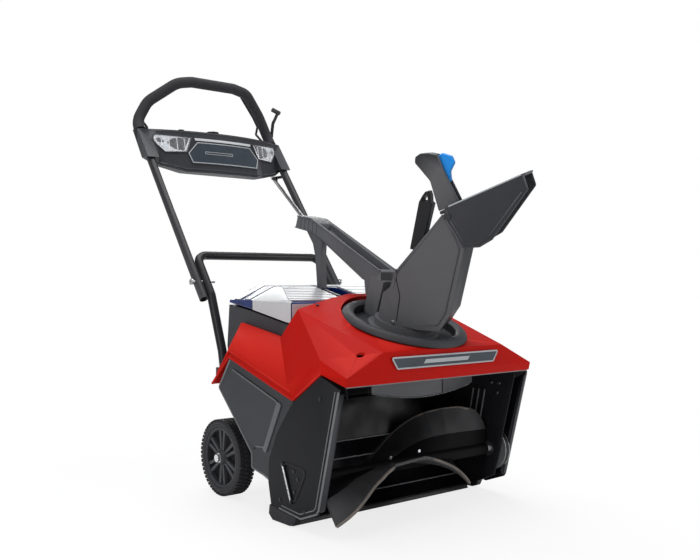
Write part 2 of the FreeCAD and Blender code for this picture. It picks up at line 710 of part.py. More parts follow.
def chute_tower():
    """The fixed tower behind the chute: foot, arm, rear leg and the sleeve for the control rod."""
    foot_place = chute_place()
    swept = Part.makeCylinder(size("collar_radius") + 3.5, 140, Vector(0, 0, -20))
    foot = Part.makeBox(51, 60, 85, Vector(-25.5, 58, -4.7)).cut(swept)
    foot = foot.common(Part.makeCylinder(size("ring_inner") - 5.5, 120, Vector(0, 0, -10)))
    foot.transformShape(foot_place.toMatrix())
    foot.translate(Vector(size("middle_x"), size("middle_y"), 0))

    def slab(points, half):
        ring = [Vector(-half, y, z) for y, z in points]
        return Part.Face(Part.makePolygon(ring + ring[:1])).extrude(Vector(2 * half, 0, 0))

    arm = slab([(168, 470), (168, 521), (430, 656), (483, 665), (494, 634), (430, 620), (368, 588),
                (226, 502), (222, 470)], 25)
    slot = slab([(180, 497), (180, 560), (400, 670), (400, 625), (372, 606)], 18)
    leg = slab([(404, 604), (462, 632), (446, 606), (432, 560), (424, 483.4), (406, 483.4), (408, 560)], 9)
    tower = foot.fuse(arm.cut(slot)).fuse(leg)
    swept_world = Part.makeCylinder(size("collar_radius") + 3.5, 300, Vector(0, 0, -20))
    swept_world.transformShape(foot_place.toMatrix())
    swept_world.translate(Vector(size("middle_x"), size("middle_y"), 0))
    tower = tower.cut(swept_world)
    flange_room = Part.makeCylinder(size("flange_radius") + 1, 10, Vector(0, 0, -11))
    flange_room.transformShape(foot_place.toMatrix())
    flange_room.translate(Vector(size("middle_x"), size("middle_y"), 0))
    tower = tower.cut(flange_room)
    start, end = control_rod_axis()
    direction = (end - start).normalize()
    sleeve_start = start - direction * 6
    tower = tower.cut(Part.makeCylinder(size("rod_radius + bearing_gap"), 80, sleeve_start, direction))
    pinion_hole = Part.makeCylinder(size("pin_radius + bearing_gap"), 40,
                                    Vector(0, size("pinion_distance"), -20))
    pinion_hole.transformShape(foot_place.toMatrix())
    pinion_hole.translate(Vector(size("middle_x"), size("middle_y"), 0))
    placed_feature("chute_tower", tower.cut(pinion_hole).removeSplitter())


def toothed(teeth, tooth_phase, low, height):
    """A spur gear with plain tapered teeth, cut a little thin so that the mesh runs free."""
    module = size("gear_module")
    pitch = module * teeth / 2
    root = pitch - 1.25 * module
    tip = pitch + 0.8 * module
    step = 2 * math.pi / teeth
    points = []
    for index in range(int(teeth)):
        middle = (index + tooth_phase) * step
        for reach, share in ((root, -0.30), (tip, -0.11), (tip, 0.11), (root, 0.30)):
            angle = middle + share * step
            points.append(Vector(reach * math.cos(angle), reach * math.sin(angle), low))
    return Part.Face(Part.makePolygon(points + points[:1])).extrude(Vector(0, 0, height))


def chute_drive():
    """The ring gear under the chute and the pinion that turns it."""
    place = chute_place(size("chute_turn"))
    teeth = size("gear_teeth")
    rear = 90 - size("chute_turn")
    phase = rear / (360 / teeth)
    phase = phase - math.floor(phase)
    ring = toothed(teeth, phase, -20, 10)
    bore = Part.makeCylinder(size("collar_radius + bearing_gap"), 12, Vector(0, 0, -21))
    placed_feature("chute_gear", ring.cut(bore), place)
    pinion_place = chute_place()
    pinion_place.Base = pinion_place.multVec(Vector(0, size("pinion_distance"), 0))
    small = size("pinion_teeth")
    pinion = toothed(small, 0.5 - 0.75 * small + math.floor(0.75 * small), -20, 10)
    stub = Part.makeCylinder(size("pin_radius"), 34, Vector(0, 0, -24))
    placed_feature("chute_pinion", pinion.fuse(stub), pinion_place)


def side_profile(points, half):
    """A prism across the chute from corners given as (forward, up)."""
    ring = [Vector(-half, -forward, up) for forward, up in points]
    return Part.Face(Part.makePolygon(ring + ring[:1])).extrude(Vector(2 * half, 0, 0))


def lower_chute():
    """The turning chute: a round foot that opens into a box with a slanted back."""
    half = size("chute_half")
    wall = size("chute_wall")
    collar = size("collar_radius")
    low = -38.0

    def round_back(shrink):
        """The half-round back of the foot, with its top sloping down to the rear."""
        radius = half - shrink
        slope = side_profile([(-radius, low - shrink), (-radius, 62 - shrink), (-35 + shrink, 92 - shrink),
                              (radius, 92 - shrink), (radius, low - shrink)], radius)
        return slope.common(Part.makeCylinder(radius, 140, Vector(0, 0, low - shrink)))

    outside = side_profile([(-35, 70), (-35, 89), (-32, 126), (37, 262), (47, 276), (50, 276), (101, 214),
                            (103, 64), (90, 27), (45, 17), (3, 17)], half)
    outside = outside.fuse(Part.makeCylinder(collar, 50, Vector(0, 0, low))).fuse(round_back(0))
    outside = outside.fuse(Part.makeCylinder(size("flange_radius"), 3, Vector(0, 0, -4.7)))
    inside = side_profile([(-32, 66), (-32, 88), (-29, 125), (39.5, 261), (62, 300), (99, 235),
                           (99, 214), (100, 65), (87, 29), (44, 20), (3, 20)], half - wall)
    inside = inside.fuse(Part.makeCylinder(collar - wall, 47, Vector(0, 0, low - 0.2))).fuse(round_back(wall))
    shell = outside.cut(inside)
    pin = Vector(-80, -size("pitch_pin_s"), size("pitch_pin_z"))
    shell = shell.cut(Part.makeCylinder(size("pin_radius"), 160, pin, X_AXIS))
    placed_feature("lower_chute", shell.removeSplitter(), chute_place(size("chute_turn")))


def deflector():
    """The pitching hood on top of the chute and the pin that it swings on."""
    half = size("deflector_half")
    wall = 3.3
    place = chute_place(size("chute_turn"))
    outside = side_profile([(44, 285.5), (180.5, 388), (198, 360), (151, 243), (130, 223), (98, 213),
                            (46, 262)], half)
    inside = side_profile([(30, 271), (44, 281.5), (180, 383.6), (215, 372), (215, 200), (98, 200),
                           (30, 250)], half - wall)
    pin_start = Vector(-80, -size("pitch_pin_s"), size("pitch_pin_z"))
    bore = Part.makeCylinder(size("pin_radius + bearing_gap"), 160, pin_start, X_AXIS)
    placed_feature("deflector", outside.cut(inside).cut(bore), place)
    pin = doc.addObject("Part::Cylinder", "deflector_pin")
    pin.setExpression("Radius", bound("pin_radius"))
    pin.setExpression("Height", bound("2 * deflector_half + 6"))
    foot = Vector(-size("deflector_half + 3"), -size("pitch_pin_s"), size("pitch_pin_z"))
    pin.Placement = place * Placement(foot, Rotation(Y_AXIS, 90))


def deflector_handle():
    """The forked handle on the deflector, and the blue trigger in its fork."""
    place = chute_place(size("chute_turn"))
    pivot_s = size("trigger_pin_s")
    pivot_z = size("trigger_pin_z")
    body = side_profile([(24, 268), (62, 297), (16, 352), (-5, 382), (-24, 382), (-42, 377), (-51, 367),
                         (-49, 355), (-9, 326)], 22)
    root_cut = side_profile([(0, 200), (43, 250), (43, 285.4), (180.2, 388.5), (180.2, 200)], 40)
    fork = side_profile([(68, 281), (68, 327), (8, 397), (-26, 373), (22, 297)], 12)
    pin = Part.makeCylinder(2.5, 30, Vector(-15, -pivot_s, pivot_z), X_AXIS)
    placed_feature("deflector_handle", body.cut(root_cut).cut(fork).fuse(pin), place)
    trigger = side_profile([(-8, 376), (0, 387), (22, 385), (31, 373), (26, 353), (33, 333), (24, 329),
                            (10, 335), (-2, 350)], 9)
    bore = Part.makeCylinder(2.55, 40, Vector(-20, -pivot_s, pivot_z), X_AXIS)
    placed_feature("deflector_trigger", trigger.cut(bore), place)


def chute_rack():
    """The upright bracket on the chute's back, with a loop on top, beside the deflector's handle."""
    profile = side_profile([(-20, 174), (-23, 277), (-19, 291), (-14, 302), (-8, 303), (-3, 295), (1, 281),
                            (6, 279), (5.4, 201), (-8, 174)], 18)
    window = side_profile([(-17, 281), (-12, 296), (-9, 296), (-4, 281)], 40)
    placed_feature("chute_rack", profile.cut(window), chute_place(size("chute_turn")))


def chute_bolts():
    """Two bolts low on the chute's round foot."""
    bolts = []
    for angle in (191.5, 348.5):
        direction = Vector(math.cos(math.radians(angle)), -math.sin(math.radians(angle)), 0)
        start = direction * (size("chute_half") + 0.1) + Vector(0, 0, 18.5)
        bolts.append(Part.makeCylinder(4.5, 3.2, start, direction))
    placed_feature("chute_bolts", Part.makeCompound(bolts), chute_place(size("chute_turn")))


def control_rod_axis():
    """The two ends of the straight part of the chute's control rod."""
    return Vector(0, 470, 641), Vector(245, 996, 832)


def control_rod():
    """The rod from the tower to its bent hand lever behind the console."""
    start, bend = control_rod_axis()
    points = [start, bend, Vector(245, 996, 950), Vector(251, 996, 998), Vector(270, 996, 1034)]
    lever = swept_round(rounded_path(points, 24), size("rod_radius"))
    placed_feature("control_rod", lever)
    heading = (points[-1] - points[-2]).normalize()
    cap_start = Vector(276, 996, 1033)
    inward = (Vector(247, 996, 1042) - cap_start).normalize()
    cap = Part.makeCylinder(7, 28, cap_start, inward)
    bore = Part.makeCylinder(size("rod_radius + bearing_gap"), 30, points[-1] - heading * 29.95, heading)
    placed_feature("lever_knob", cap.cut(bore))


# ---------------------------------------------------------------- handle

def lower_handle():
    """The fixed U-shaped lower handle and the two blocks that clamp it to the battery box."""
    leg = size("lower_leg_x")
    side = [Vector(leg, 546, 262), Vector(leg, 560, 329), Vector(leg, 613, 466), Vector(leg, 688, 566)]
    points = side + mirrored(side)[::-1]
    tube = bent_tube(points, 28, size("tube_radius"), size("tube_radius - tube_wall"))
    placed_feature("lower_handle", tube.cut(fold_bore()))
    blocks = []
    for sign in (-1, 1):
        block = Part.makeBox(34, 31, 24, Vector(sign * leg - 17, 532.5, 266))
        bore = rod_between(Vector(sign * leg, 544, 252.4), Vector(sign * leg, 556, 309.9),
                           size("tube_radius + bearing_gap"))
        blocks.append(block.cut(bore))
    placed_feature("handle_brackets", Part.makeCompound(blocks))


def fold_bore():
    """The hole across both handles that the fold bolts run in."""
    start = Vector(-260, size("fold_y"), size("fold_z"))
    return Part.makeCylinder(size("fold_bolt_radius + bearing_gap"), 520, start, X_AXIS)


def fold_bolts():
    """The bolts that the upper handle folds on, fixed in the lower handle's legs."""
    bolts = []
    for sign in (-1, 1):
        head = Vector(sign * 172, size("fold_y"), size("fold_z"))
        bolt = Part.makeCylinder(size("fold_bolt_radius"), 68, head, X_AXIS * sign)
        cap = Part.makeCylinder(8, 5, Vector(sign * 235, size("fold_y"), size("fold_z")), X_AXIS * sign)
        bolts.append(bolt.fuse(cap))
    placed_feature("fold_bolts", Part.makeCompound(bolts))


def handle_side():
    """The left half of the upper handle's centre line, from its foot to the top bar."""
    leg = size("upper_leg_x")
    return [Vector(leg, 608, 455), Vector(leg, 982, 948), Vector(188, 980, 1008), Vector(116, 942, 1064),
            Vector(70, 941, 1073)]


def upper_handle():
    """The folding loop, its soft grip and the control bail that nests behind the grip."""
    side = handle_side()
    points = side + mirrored(side)[::-1]
    bend = size("loop_bend")
    tube = bent_tube(points, bend, size("tube_radius"), size("tube_radius - tube_wall"))
    placed_feature("upper_handle", tube.cut(fold_bore()))
    low = side[0] + (side[1] - side[0]) * 0.945
    grip_points = [low] + side[1:]
    grip_points += mirrored(grip_points)[::-1]
    sleeve = bent_tube(grip_points, bend, size("grip_radius"), size("tube_radius + bearing_gap"))
    placed_feature("handle_grip", sleeve)
    bail = [Vector(203.8, 968, 930), Vector(193, 968, 930), Vector(193, 1005, 958), Vector(202, 1009.9, 984),
            Vector(186, 1009.5, 1010), Vector(115, 974, 1065), Vector(70, 973, 1074)]
    bail_path = rounded_path(bail + mirrored(bail)[::-1], 6)
    placed_feature("control_bail", swept_round(bail_path, size("bail_radius")))


def console_solid(shrink):
    """The console's outer form, or its hollow when shrunk."""
    def plan(front, ends, height):
        left = Vector(-236 + shrink, ends + shrink, height)
        right = Vector(236 - shrink, ends + shrink, height)
        back_left = Vector(-236 + shrink, 974 - shrink, height)
        back_right = Vector(236 - shrink, 974 - shrink, height)
        nose = Part.Arc(left, Vector(0, front + shrink, height), right).toShape()
        edges = [nose, Part.makeLine(right, back_right), Part.makeLine(back_right, back_left)]
        edges.append(Part.makeLine(back_left, left))
        return Part.Wire(edges)

    body = Part.makeLoft([plan(850, 914, 802 + shrink), plan(880, 944, 922 - shrink)], True, True)
    rim = [(-236, 922), (-229, 840), (-192, 819), (-124, 803), (124, 803), (192, 819), (229, 840), (236, 922)]
    ring = []
    for x, z in rim:
        sideways = -shrink if x > 0 else shrink
        ring.append(Vector(x + sideways, 800, z + shrink if z < 900 else z - shrink))
    face = Part.Face(Part.makePolygon(ring + ring[:1]))
    lean = [(700, 700), (857.7 - shrink, 700), (1014.9 - shrink, 1000), (700, 1000)]
    side = [Vector(-300, y, z) for y, z in lean]
    leaning = Part.Face(Part.makePolygon(side + side[:1])).extrude(X_AXIS * 600)
    return body.common(face.extrude(Vector(0, 220, 0))).common(leaning)


def console_collars():
    """The two sleeves at the console's ends that the handle's legs run through."""
    collars = []
    for start in (-236, 203):
        ring = [Vector(start, y, z) for y, z in ((879, 838), (943, 921.9), (972, 921.9), (916, 838))]
        collars.append(Part.Face(Part.makePolygon(ring + ring[:1])).extrude(X_AXIS * 33))
    return collars[0].fuse(collars[1])


def console():
    """Console shells, lamps, name plate and controls."""
    outer = console_solid(0)
    hollow = console_solid(3)
    tubes = []
    side = handle_side()
    for points in (side, mirrored(side)):
        tubes.append(rod_between(points[0], points[1], size("tube_radius") + 0.4))
        low = points[0] + (points[1] - points[0]) * 0.94
        tubes.append(rod_between(low, points[1], size("grip_radius") + 0.4))
    shell = outer.cut(hollow).fuse(console_collars())
    for tube in tubes:
        shell = shell.cut(tube)
    split = 946.0
    front_half = Part.makeBox(600, 200, 300, Vector(-300, split - 200, 700))
    rear_half = Part.makeBox(600, 200, 300, Vector(-300, split + 0.3, 700))
    button_hole = Part.makeCylinder(13.4, 30, Vector(-8, 926, 905))
    key_hole = Part.makeBox(8.8, 7.8, 30, Vector(-115.4, 922.1, 905))
    front = shell.common(front_half).cut(button_hole).cut(key_hole)
    placed_feature("console_front", front)
    placed_feature("console_back", shell.common(rear_half))

    skin_out = outer.copy()
    skin_out.translate(Vector(0, -2.6, 0))
    skin_in = outer.copy()
    skin_in.translate(Vector(0, -0.3, 0))

    def face_piece(corners):
        ring = [Vector(x, 800, z) for x, z in corners]
        prism = Part.Face(Part.makePolygon(ring + ring[:1])).extrude(Vector(0, 146, 0))
        return skin_out.cut(skin_in).common(prism)

    lamp = [(202.5, 899), (198, 907), (100, 902), (117, 860), (176, 857), (196, 879), (202.5, 890)]
    lamps = [face_piece([(sign * x, z) for x, z in lamp]) for sign in (-1, 1)]
    placed_feature("headlight_lenses", Part.makeCompound(lamps))
    strip = [(-93, 902), (93, 902), (91, 895), (-91, 895)]
    placed_feature("light_strip", face_piece(strip))
    plate = [(-86, 889), (86, 889), (114, 857), (105, 831), (-105, 831), (-114, 857)]
    placed_feature("console_badge", face_piece(plate))

    button = make_body("start_button")
    round_pad(button, "XY_Plane", 912, (-8, 926), 13, 20)
    round_pad(button, "XY_Plane", 908, (-8, 926), 16, 4)
    round_pad(button, "XY_Plane", 926, (-8, 926), 17, 7)
    key = make_body("safety_key")
    pad(key, "XY_Plane", 906, [(-115, 922.5), (-107, 922.5), (-107, 929.5), (-115, 929.5)], 17)
    pad(key, "XY_Plane", 922.4, [(-118, 920), (-104, 920), (-104, 932), (-118, 932)], 7)


def rod_guide():
    """The open hook on the left leg that steadies the control rod and lets it out when folding."""
    start, end = control_rod_axis()
    direction = (end - start).normalize()
    spot = start + direction * ((end - start).Length * 0.9)
    ring = Part.makeCylinder(10, 8, spot - direction * 4, direction)
    ring = ring.cut(Part.makeCylinder(size("rod_radius") + 0.6, 10, spot - direction * 5, direction))
    mouth = Part.makeBox(30, 30, 30, Vector(-15, -15, 0))
    mouth.Placement = Placement(spot, Rotation(Vector(0, 0, 1), Vector(0, 1, -1)))
    ring = ring.cut(mouth)
    leg = handle_side()
    heading = (leg[1] - leg[0]).normalize()
    along = (spot.z + 4 - leg[0].z) / heading.z
    tube_point = leg[0] + heading * along
    arm = Part.makeBox(6, spot.y - tube_point.y, 8, Vector(spot.x + 1, tube_point.y, spot.z + 2))
    arm = arm.cut(rod_between(leg[0], leg[1], size("tube_radius") + 0.05))
    arm = arm.cut(rod_between(start, end, size("rod_radius") + 0.6))
    placed_feature("rod_guide", ring.fuse(arm))


# ---------------------------------------------------------------- fasteners

def body_screws():
    """The screws of the side plates, side covers and hood."""
    screws = []
    plate_face = size("half_width") + 0.05
    recess_face = size("half_width") - 1.45
    cover_face = size("half_width - plate_gauge") + 0.05
    spots = [(60, 270, plate_face), (110, 40, plate_face), (196, 48, plate_face)]
    spots += [(136, 100, recess_face), (150, 114, recess_face), (148, 72, recess_face)]
    spots += [(200, 240, cover_face), (400, 262, cover_face), (300, 140, cover_face)]
    for sign in (-1, 1):
        for y, z, face in spots:
            screws.append(Part.makeCylinder(4, 1.3, Vector(sign * face, y, z), X_AXIS * sign))
        top = Vector(sign * 150, 236, 446.7)
        screws.append(Part.makeCylinder(4, 2, top, Vector(sign * 0.166, -0.333, 1)))
    placed_feature("body_screws", Part.makeCompound(screws))


def build():
    side_plate("right_side_plate", -1)
    side_plate("left_side_plate", 1)
    auger_housing()
    belt_side_wall()
    throat_plate()
    scraper_bar()
    discharge_duct()
    rotor()
    rotor_bearings()
    pulley("rotor_pulley", ("rotor_y", "rotor_z"), "rotor_pulley_radius", "shaft_radius")
    drive_belt()
    motor()
    main_frame()
    wheels()
    hood()
    hood_badge()
    side_cover("right_side_cover", -1)
    side_cover("left_side_cover", 1)
    battery_box()
    battery_packs()
    battery_lid()
    chute_ring()
    chute_tower()
    chute_drive()
    lower_chute()
    deflector()
    deflector_handle()
    chute_rack()
    chute_bolts()
    control_rod()
    lower_handle()
    fold_bolts()
    upper_handle()
    console()
    rod_guide()
    body_screws()


def sub_parts():
    """Every object that is a sub-part of its own."""
    found = []
    for item in doc.Objects:
        if item.isDerivedFrom("PartDesign::Body") or item.isDerivedFrom("Part::Feature"):
            inside_body = item.getParentGeoFeatureGroup() is not None
            if not inside_body:
                found.append(item)
    return found


def check_and_write():
    doc.recompute()
    for item in doc.Objects:
        if "Invalid" in item.State or "Error" in item.State:
            raise RuntimeError(f"{item.Label} did not compute: {item.State}")
    for item in sub_parts():
        if item.Shape.isNull() or not item.Shape.isValid():
            raise RuntimeError(f"{item.Label} has no valid shape")
        if not item.Shape.Solids:
            raise RuntimeError(f"{item.Label} has no solid")
        item.Shape.exportStep(f"parts/{item.Label}.step")
        box = item.Shape.optimalBoundingBox()
        print(f"{item.Label:22} solids {len(item.Shape.Solids)} volume {item.Shape.Volume / 1000:9.1f} cm3 "
              f"X {box.XMin:7.1f} {box.XMax:7.1f}  Y {box.YMin:7.1f} {box.YMax:7.1f}  "
              f"Z {box.ZMin:7.1f} {box.ZMax:7.1f}")


build()
check_and_write()
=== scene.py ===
"""The looks of the snowblower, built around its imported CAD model. Lengths in the code are millimetres
in the machine's own frame (X left, Y rearwards from the side plates, Z up), turned to metres by at()."""
import json
import math

import bmesh
import bpy
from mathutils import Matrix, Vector


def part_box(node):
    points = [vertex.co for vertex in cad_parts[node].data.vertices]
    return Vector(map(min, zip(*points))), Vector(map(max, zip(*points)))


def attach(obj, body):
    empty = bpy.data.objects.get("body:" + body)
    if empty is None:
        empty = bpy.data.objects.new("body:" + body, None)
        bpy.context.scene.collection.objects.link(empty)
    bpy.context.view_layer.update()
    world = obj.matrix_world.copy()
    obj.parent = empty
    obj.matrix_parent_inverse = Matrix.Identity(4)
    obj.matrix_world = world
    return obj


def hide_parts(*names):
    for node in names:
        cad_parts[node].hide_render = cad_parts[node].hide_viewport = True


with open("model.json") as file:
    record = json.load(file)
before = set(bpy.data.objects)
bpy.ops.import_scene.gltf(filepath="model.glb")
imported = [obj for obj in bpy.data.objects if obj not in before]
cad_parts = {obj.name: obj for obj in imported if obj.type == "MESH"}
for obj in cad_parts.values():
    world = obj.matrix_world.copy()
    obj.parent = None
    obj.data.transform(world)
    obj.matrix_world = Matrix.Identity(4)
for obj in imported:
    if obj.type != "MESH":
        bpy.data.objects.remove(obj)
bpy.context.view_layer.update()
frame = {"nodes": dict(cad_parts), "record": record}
record = frame["record"]
BODY_OF = {node: body for body, nodes in record["behaviour"]["bodies"].items() for node in nodes}
SLOT_OF = {part["node"]: part["material_slot"] for part in record["subparts"]}
JOINTS = {joint["name"]: joint for joint in record["behaviour"]["joints"]}
SIDES = {-1: "right", 1: "left"}

# The side plates' front edge lies this far behind Y = 0.
PLATE_SETBACK = 1.5
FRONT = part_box("right_side_plate")[0][1] - PLATE_SETBACK / 1000


def at(x, y, z):
    """A point of the machine's own frame, in metres of the row frame."""
    return Vector((x / 1000, FRONT + y / 1000, z / 1000))


CHUTE_FOOT = Vector(JOINTS["chute_turn"]["pos_m"])
CHUTE_UP = Vector(JOINTS["chute_turn"]["axis"])
CHUTE_SIDE = Vector(JOINTS["deflector_tilt"]["axis"])
CHUTE_AHEAD = CHUTE_SIDE.cross(CHUTE_UP)


def on_chute(ahead, up, side):
    """A point in the chute's own directions, in metres of the row frame."""
    offset = CHUTE_AHEAD * ahead + CHUTE_UP * up + CHUTE_SIDE * side
    return CHUTE_FOOT + offset / 1000


# ---------------------------------------------------------------- materials

COAT_ROUGHNESS = 0.12
TONE_DETAIL = 6.0
GRAIN_DETAIL = 3.0
GRAIN_DEPTH = 0.0004
# Most noise values lie in this span.
NOISE_LOW, NOISE_HIGH = 0.3, 0.7
# Lighter edges, partly wear and partly a painted highlight, begin and are complete at these values of an
# edge's pointiness, and never cover more than their share.
WEAR_AND_HIGHLIGHT_BEGINS, WEAR_AND_HIGHLIGHT_COMPLETE, WEAR_AND_HIGHLIGHT_SHARE = 0.53, 0.62, 0.55
LEAST_ROUGHNESS = 0.02
FLUTE_SCALE = 90.0
FLUTE_DEPTH = 0.0008


def set_sockets(node, values):
    for socket, value in values.items():
        node.inputs[socket].default_value = value


def add_node(tree, kind, values):
    """A new node with the given values on its sockets."""
    node = tree.nodes.new(kind)
    set_sockets(node, values)
    return node


def add_relief(tree, height, strength, depth):
    """Let a pattern raise and lower the surface; depth in metres."""
    relief = add_node(tree, "ShaderNodeBump", {"Strength": strength, "Distance": depth})
    tree.links.new(height, relief.inputs["Height"])
    tree.links.new(relief.outputs["Normal"], tree.nodes["Principled BSDF"].inputs["Normal"])


def material(name, colour, rough=0.5, metal=0.0, grain=900.0, bump=0.15, tone=0.12, tone_scale=9.0,
             rough_swing=0.08, coat=0.0, shine=0.3, glow=0.0, wear_and_highlight=None):
    """A moulded, painted or metal surface with uneven tone and gloss, grain, and lighter edges: partly wear,
    partly painted highlight.
    """
    made = bpy.data.materials.new(name)
    made.use_nodes = True
    tree = made.node_tree
    links = tree.links
    shader = tree.nodes["Principled BSDF"]
    set_sockets(shader, {"Metallic": metal, "Specular IOR Level": shine, "Coat Weight": coat,
                         "Coat Roughness": COAT_ROUGHNESS})
    # A glow is painted light: emission that stands in for bright reflections.
    if glow:
        set_sockets(shader, {"Emission Color": list(colour) + [1], "Emission Strength": glow})
    place = tree.nodes.new("ShaderNodeTexCoord")

    broad = add_node(tree, "ShaderNodeTexNoise", {"Scale": tone_scale, "Detail": TONE_DETAIL})
    links.new(place.outputs["Object"], broad.inputs["Vector"])
    ramp = tree.nodes.new("ShaderNodeValToRGB")
    low, high = ramp.color_ramp.elements
    low.position = NOISE_LOW
    high.position = NOISE_HIGH
    low.color = [c * (1 - tone) for c in colour] + [1]
    high.color = [min(1, c * (1 + tone)) for c in colour] + [1]
    links.new(broad.outputs["Fac"], ramp.inputs["Fac"])
    colour_out = ramp.outputs["Color"]

    fine = add_node(tree, "ShaderNodeTexNoise", {"Scale": grain, "Detail": GRAIN_DETAIL})
    links.new(place.outputs["Object"], fine.inputs["Vector"])

    # Convex edges are mixed towards a lighter colour: partly wear, partly a painted highlight standing in for
    # reflections along rounded edges.
    if wear_and_highlight:
        shape = tree.nodes.new("ShaderNodeNewGeometry")
        edge = add_node(tree, "ShaderNodeMapRange", {"From Min": WEAR_AND_HIGHLIGHT_BEGINS, "From Max": WEAR_AND_HIGHLIGHT_COMPLETE,
                                                     "To Max": WEAR_AND_HIGHLIGHT_SHARE})
        links.new(shape.outputs["Pointiness"], edge.inputs["Value"])
        wear_and_highlight_mix = tree.nodes.new("ShaderNodeMix")
        wear_and_highlight_mix.data_type = "RGBA"
        set_sockets(wear_and_highlight_mix, {"B": list(wear_and_highlight) + [1]})
        links.new(edge.outputs["Result"], wear_and_highlight_mix.inputs["Factor"])
        links.new(colour_out, wear_and_highlight_mix.inputs["A"])
        colour_out = wear_and_highlight_mix.outputs["Result"]
    links.new(colour_out, shader.inputs["Base Color"])

    gloss = add_node(tree, "ShaderNodeMapRange", {
        "From Min": NOISE_LOW, "From Max": NOISE_HIGH,
        "To Min": max(LEAST_ROUGHNESS, rough - rough_swing), "To Max": min(1.0, rough + rough_swing)})
    links.new(broad.outputs["Fac"], gloss.inputs["Value"])
    links.new(gloss.outputs["Result"], shader.inputs["Roughness"])
    add_relief(tree, fine.outputs["Fac"], bump, GRAIN_DEPTH)
    return made


def clear_lens():
    """Clear moulded plastic with fine flutes."""
    made = bpy.data.materials.new("lens")
    made.use_nodes = True
    tree = made.node_tree
    set_sockets(tree.nodes["Principled BSDF"], {
        "Base Color": (0.93, 0.95, 0.97, 1), "Roughness": 0.06, "Transmission Weight": 0.9, "IOR": 1.45})
    place = tree.nodes.new("ShaderNodeTexCoord")
    flutes = add_node(tree, "ShaderNodeTexWave", {"Scale": FLUTE_SCALE, "Distortion": 0.4})
    tree.links.new(place.outputs["Object"], flutes.inputs["Vector"])
    add_relief(tree, flutes.outputs["Fac"], 0.25, FLUTE_DEPTH)
    return made


MATERIALS = {
    "red_shell": material("red_shell", (0.47, 0.0060, 0.0025), rough=0.45, grain=1400, bump=0.05,
                          tone=0.05, shine=0.06, wear_and_highlight=(0.66, 0.03, 0.02)),
    "black_steel": material("black_steel", (0.0075, 0.0078, 0.0098), rough=0.36, grain=1100, bump=0.12,
                            shine=0.13, wear_and_highlight=(0.12, 0.12, 0.13)),
    "black_plastic": material("black_plastic", (0.010, 0.010, 0.012), rough=0.4, grain=1500, bump=0.2,
                              wear_and_highlight=(0.09, 0.09, 0.10)),
    "charcoal_plastic": material("charcoal_plastic", (0.036, 0.037, 0.042), rough=0.46, grain=1700,
                                 bump=0.35, tone=0.08, shine=0.25, wear_and_highlight=(0.2, 0.2, 0.21)),
    "grey_plastic": material("grey_plastic", (0.085, 0.086, 0.095), rough=0.42, grain=800, bump=0.12,
                             tone=0.2, wear_and_highlight=(0.3, 0.3, 0.3)),
    "bare_steel": material("bare_steel", (0.62, 0.62, 0.63), rough=0.3, metal=1.0, grain=500, bump=0.08),
    "zinc_fasteners": material("zinc_fasteners", (0.68, 0.68, 0.69), rough=0.26, metal=1.0, grain=700,
                               bump=0.1),
    "black_rubber": material("black_rubber", (0.036, 0.036, 0.038), rough=0.42, grain=600, bump=0.4,
                             tone=0.35, tone_scale=14, shine=0.25, wear_and_highlight=(0.2, 0.18, 0.165)),
    "belt_rubber": material("belt_rubber", (0.02, 0.02, 0.02), rough=0.7, grain=900, bump=0.3),
    "tyre_rubber": material("tyre_rubber", (0.024, 0.024, 0.027), rough=0.7, grain=900, bump=0.5, tone=0.25,
                            wear_and_highlight=(0.09, 0.09, 0.095)),
    "cast_alloy": material("cast_alloy", (0.42, 0.43, 0.44), rough=0.5, metal=0.9, grain=500, bump=0.3),
    "badge_plate": material("badge_plate", (0.040, 0.052, 0.066), rough=0.3, grain=1500, bump=0.05,
                            coat=0.2),
    "battery_case": material("battery_case", (0.022, 0.022, 0.024), rough=0.5, grain=1300, bump=0.3,
                             shine=0.14),
    "lid_shell": material("lid_shell", (0.006, 0.022, 0.13), rough=0.12, grain=900, bump=0.03, tone=0.35,
                          tone_scale=16, coat=0.8),
    "blue_plastic": material("blue_plastic", (0.005, 0.31, 0.92), rough=0.3, grain=1300, bump=0.06, tone=0.08,
                             coat=0.1, wear_and_highlight=(0.10, 0.40, 0.9)),
    "black_tube": material("black_tube", (0.014, 0.014, 0.016), rough=0.34, grain=1600, bump=0.1, tone=0.1,
                           wear_and_highlight=(0.12, 0.12, 0.13)),
    "soft_grip": material("soft_grip", (0.034, 0.034, 0.038), rough=0.8, grain=1900, bump=0.6, tone=0.12),
    "lamp_lens": clear_lens(),
    "lamp_strip": material("lamp_strip", (0.60, 0.62, 0.64), rough=0.22, grain=900, bump=0.05, tone=0.05),
    "key_plastic": material("key_plastic", (0.02, 0.02, 0.022), rough=0.35, grain=1200, bump=0.1),
}
PALE_PANEL = material("pale_panel", (0.56, 0.57, 0.58), rough=0.34, grain=1300, bump=0.08, tone=0.06,
                      coat=0.2)
# Pale lines: print on the name plates, and a painted highlight on the deflector's top edge.
PALE_LINE = material("pale_line", (0.42, 0.44, 0.46), rough=0.35, grain=1300, bump=0.05, tone=0.05)
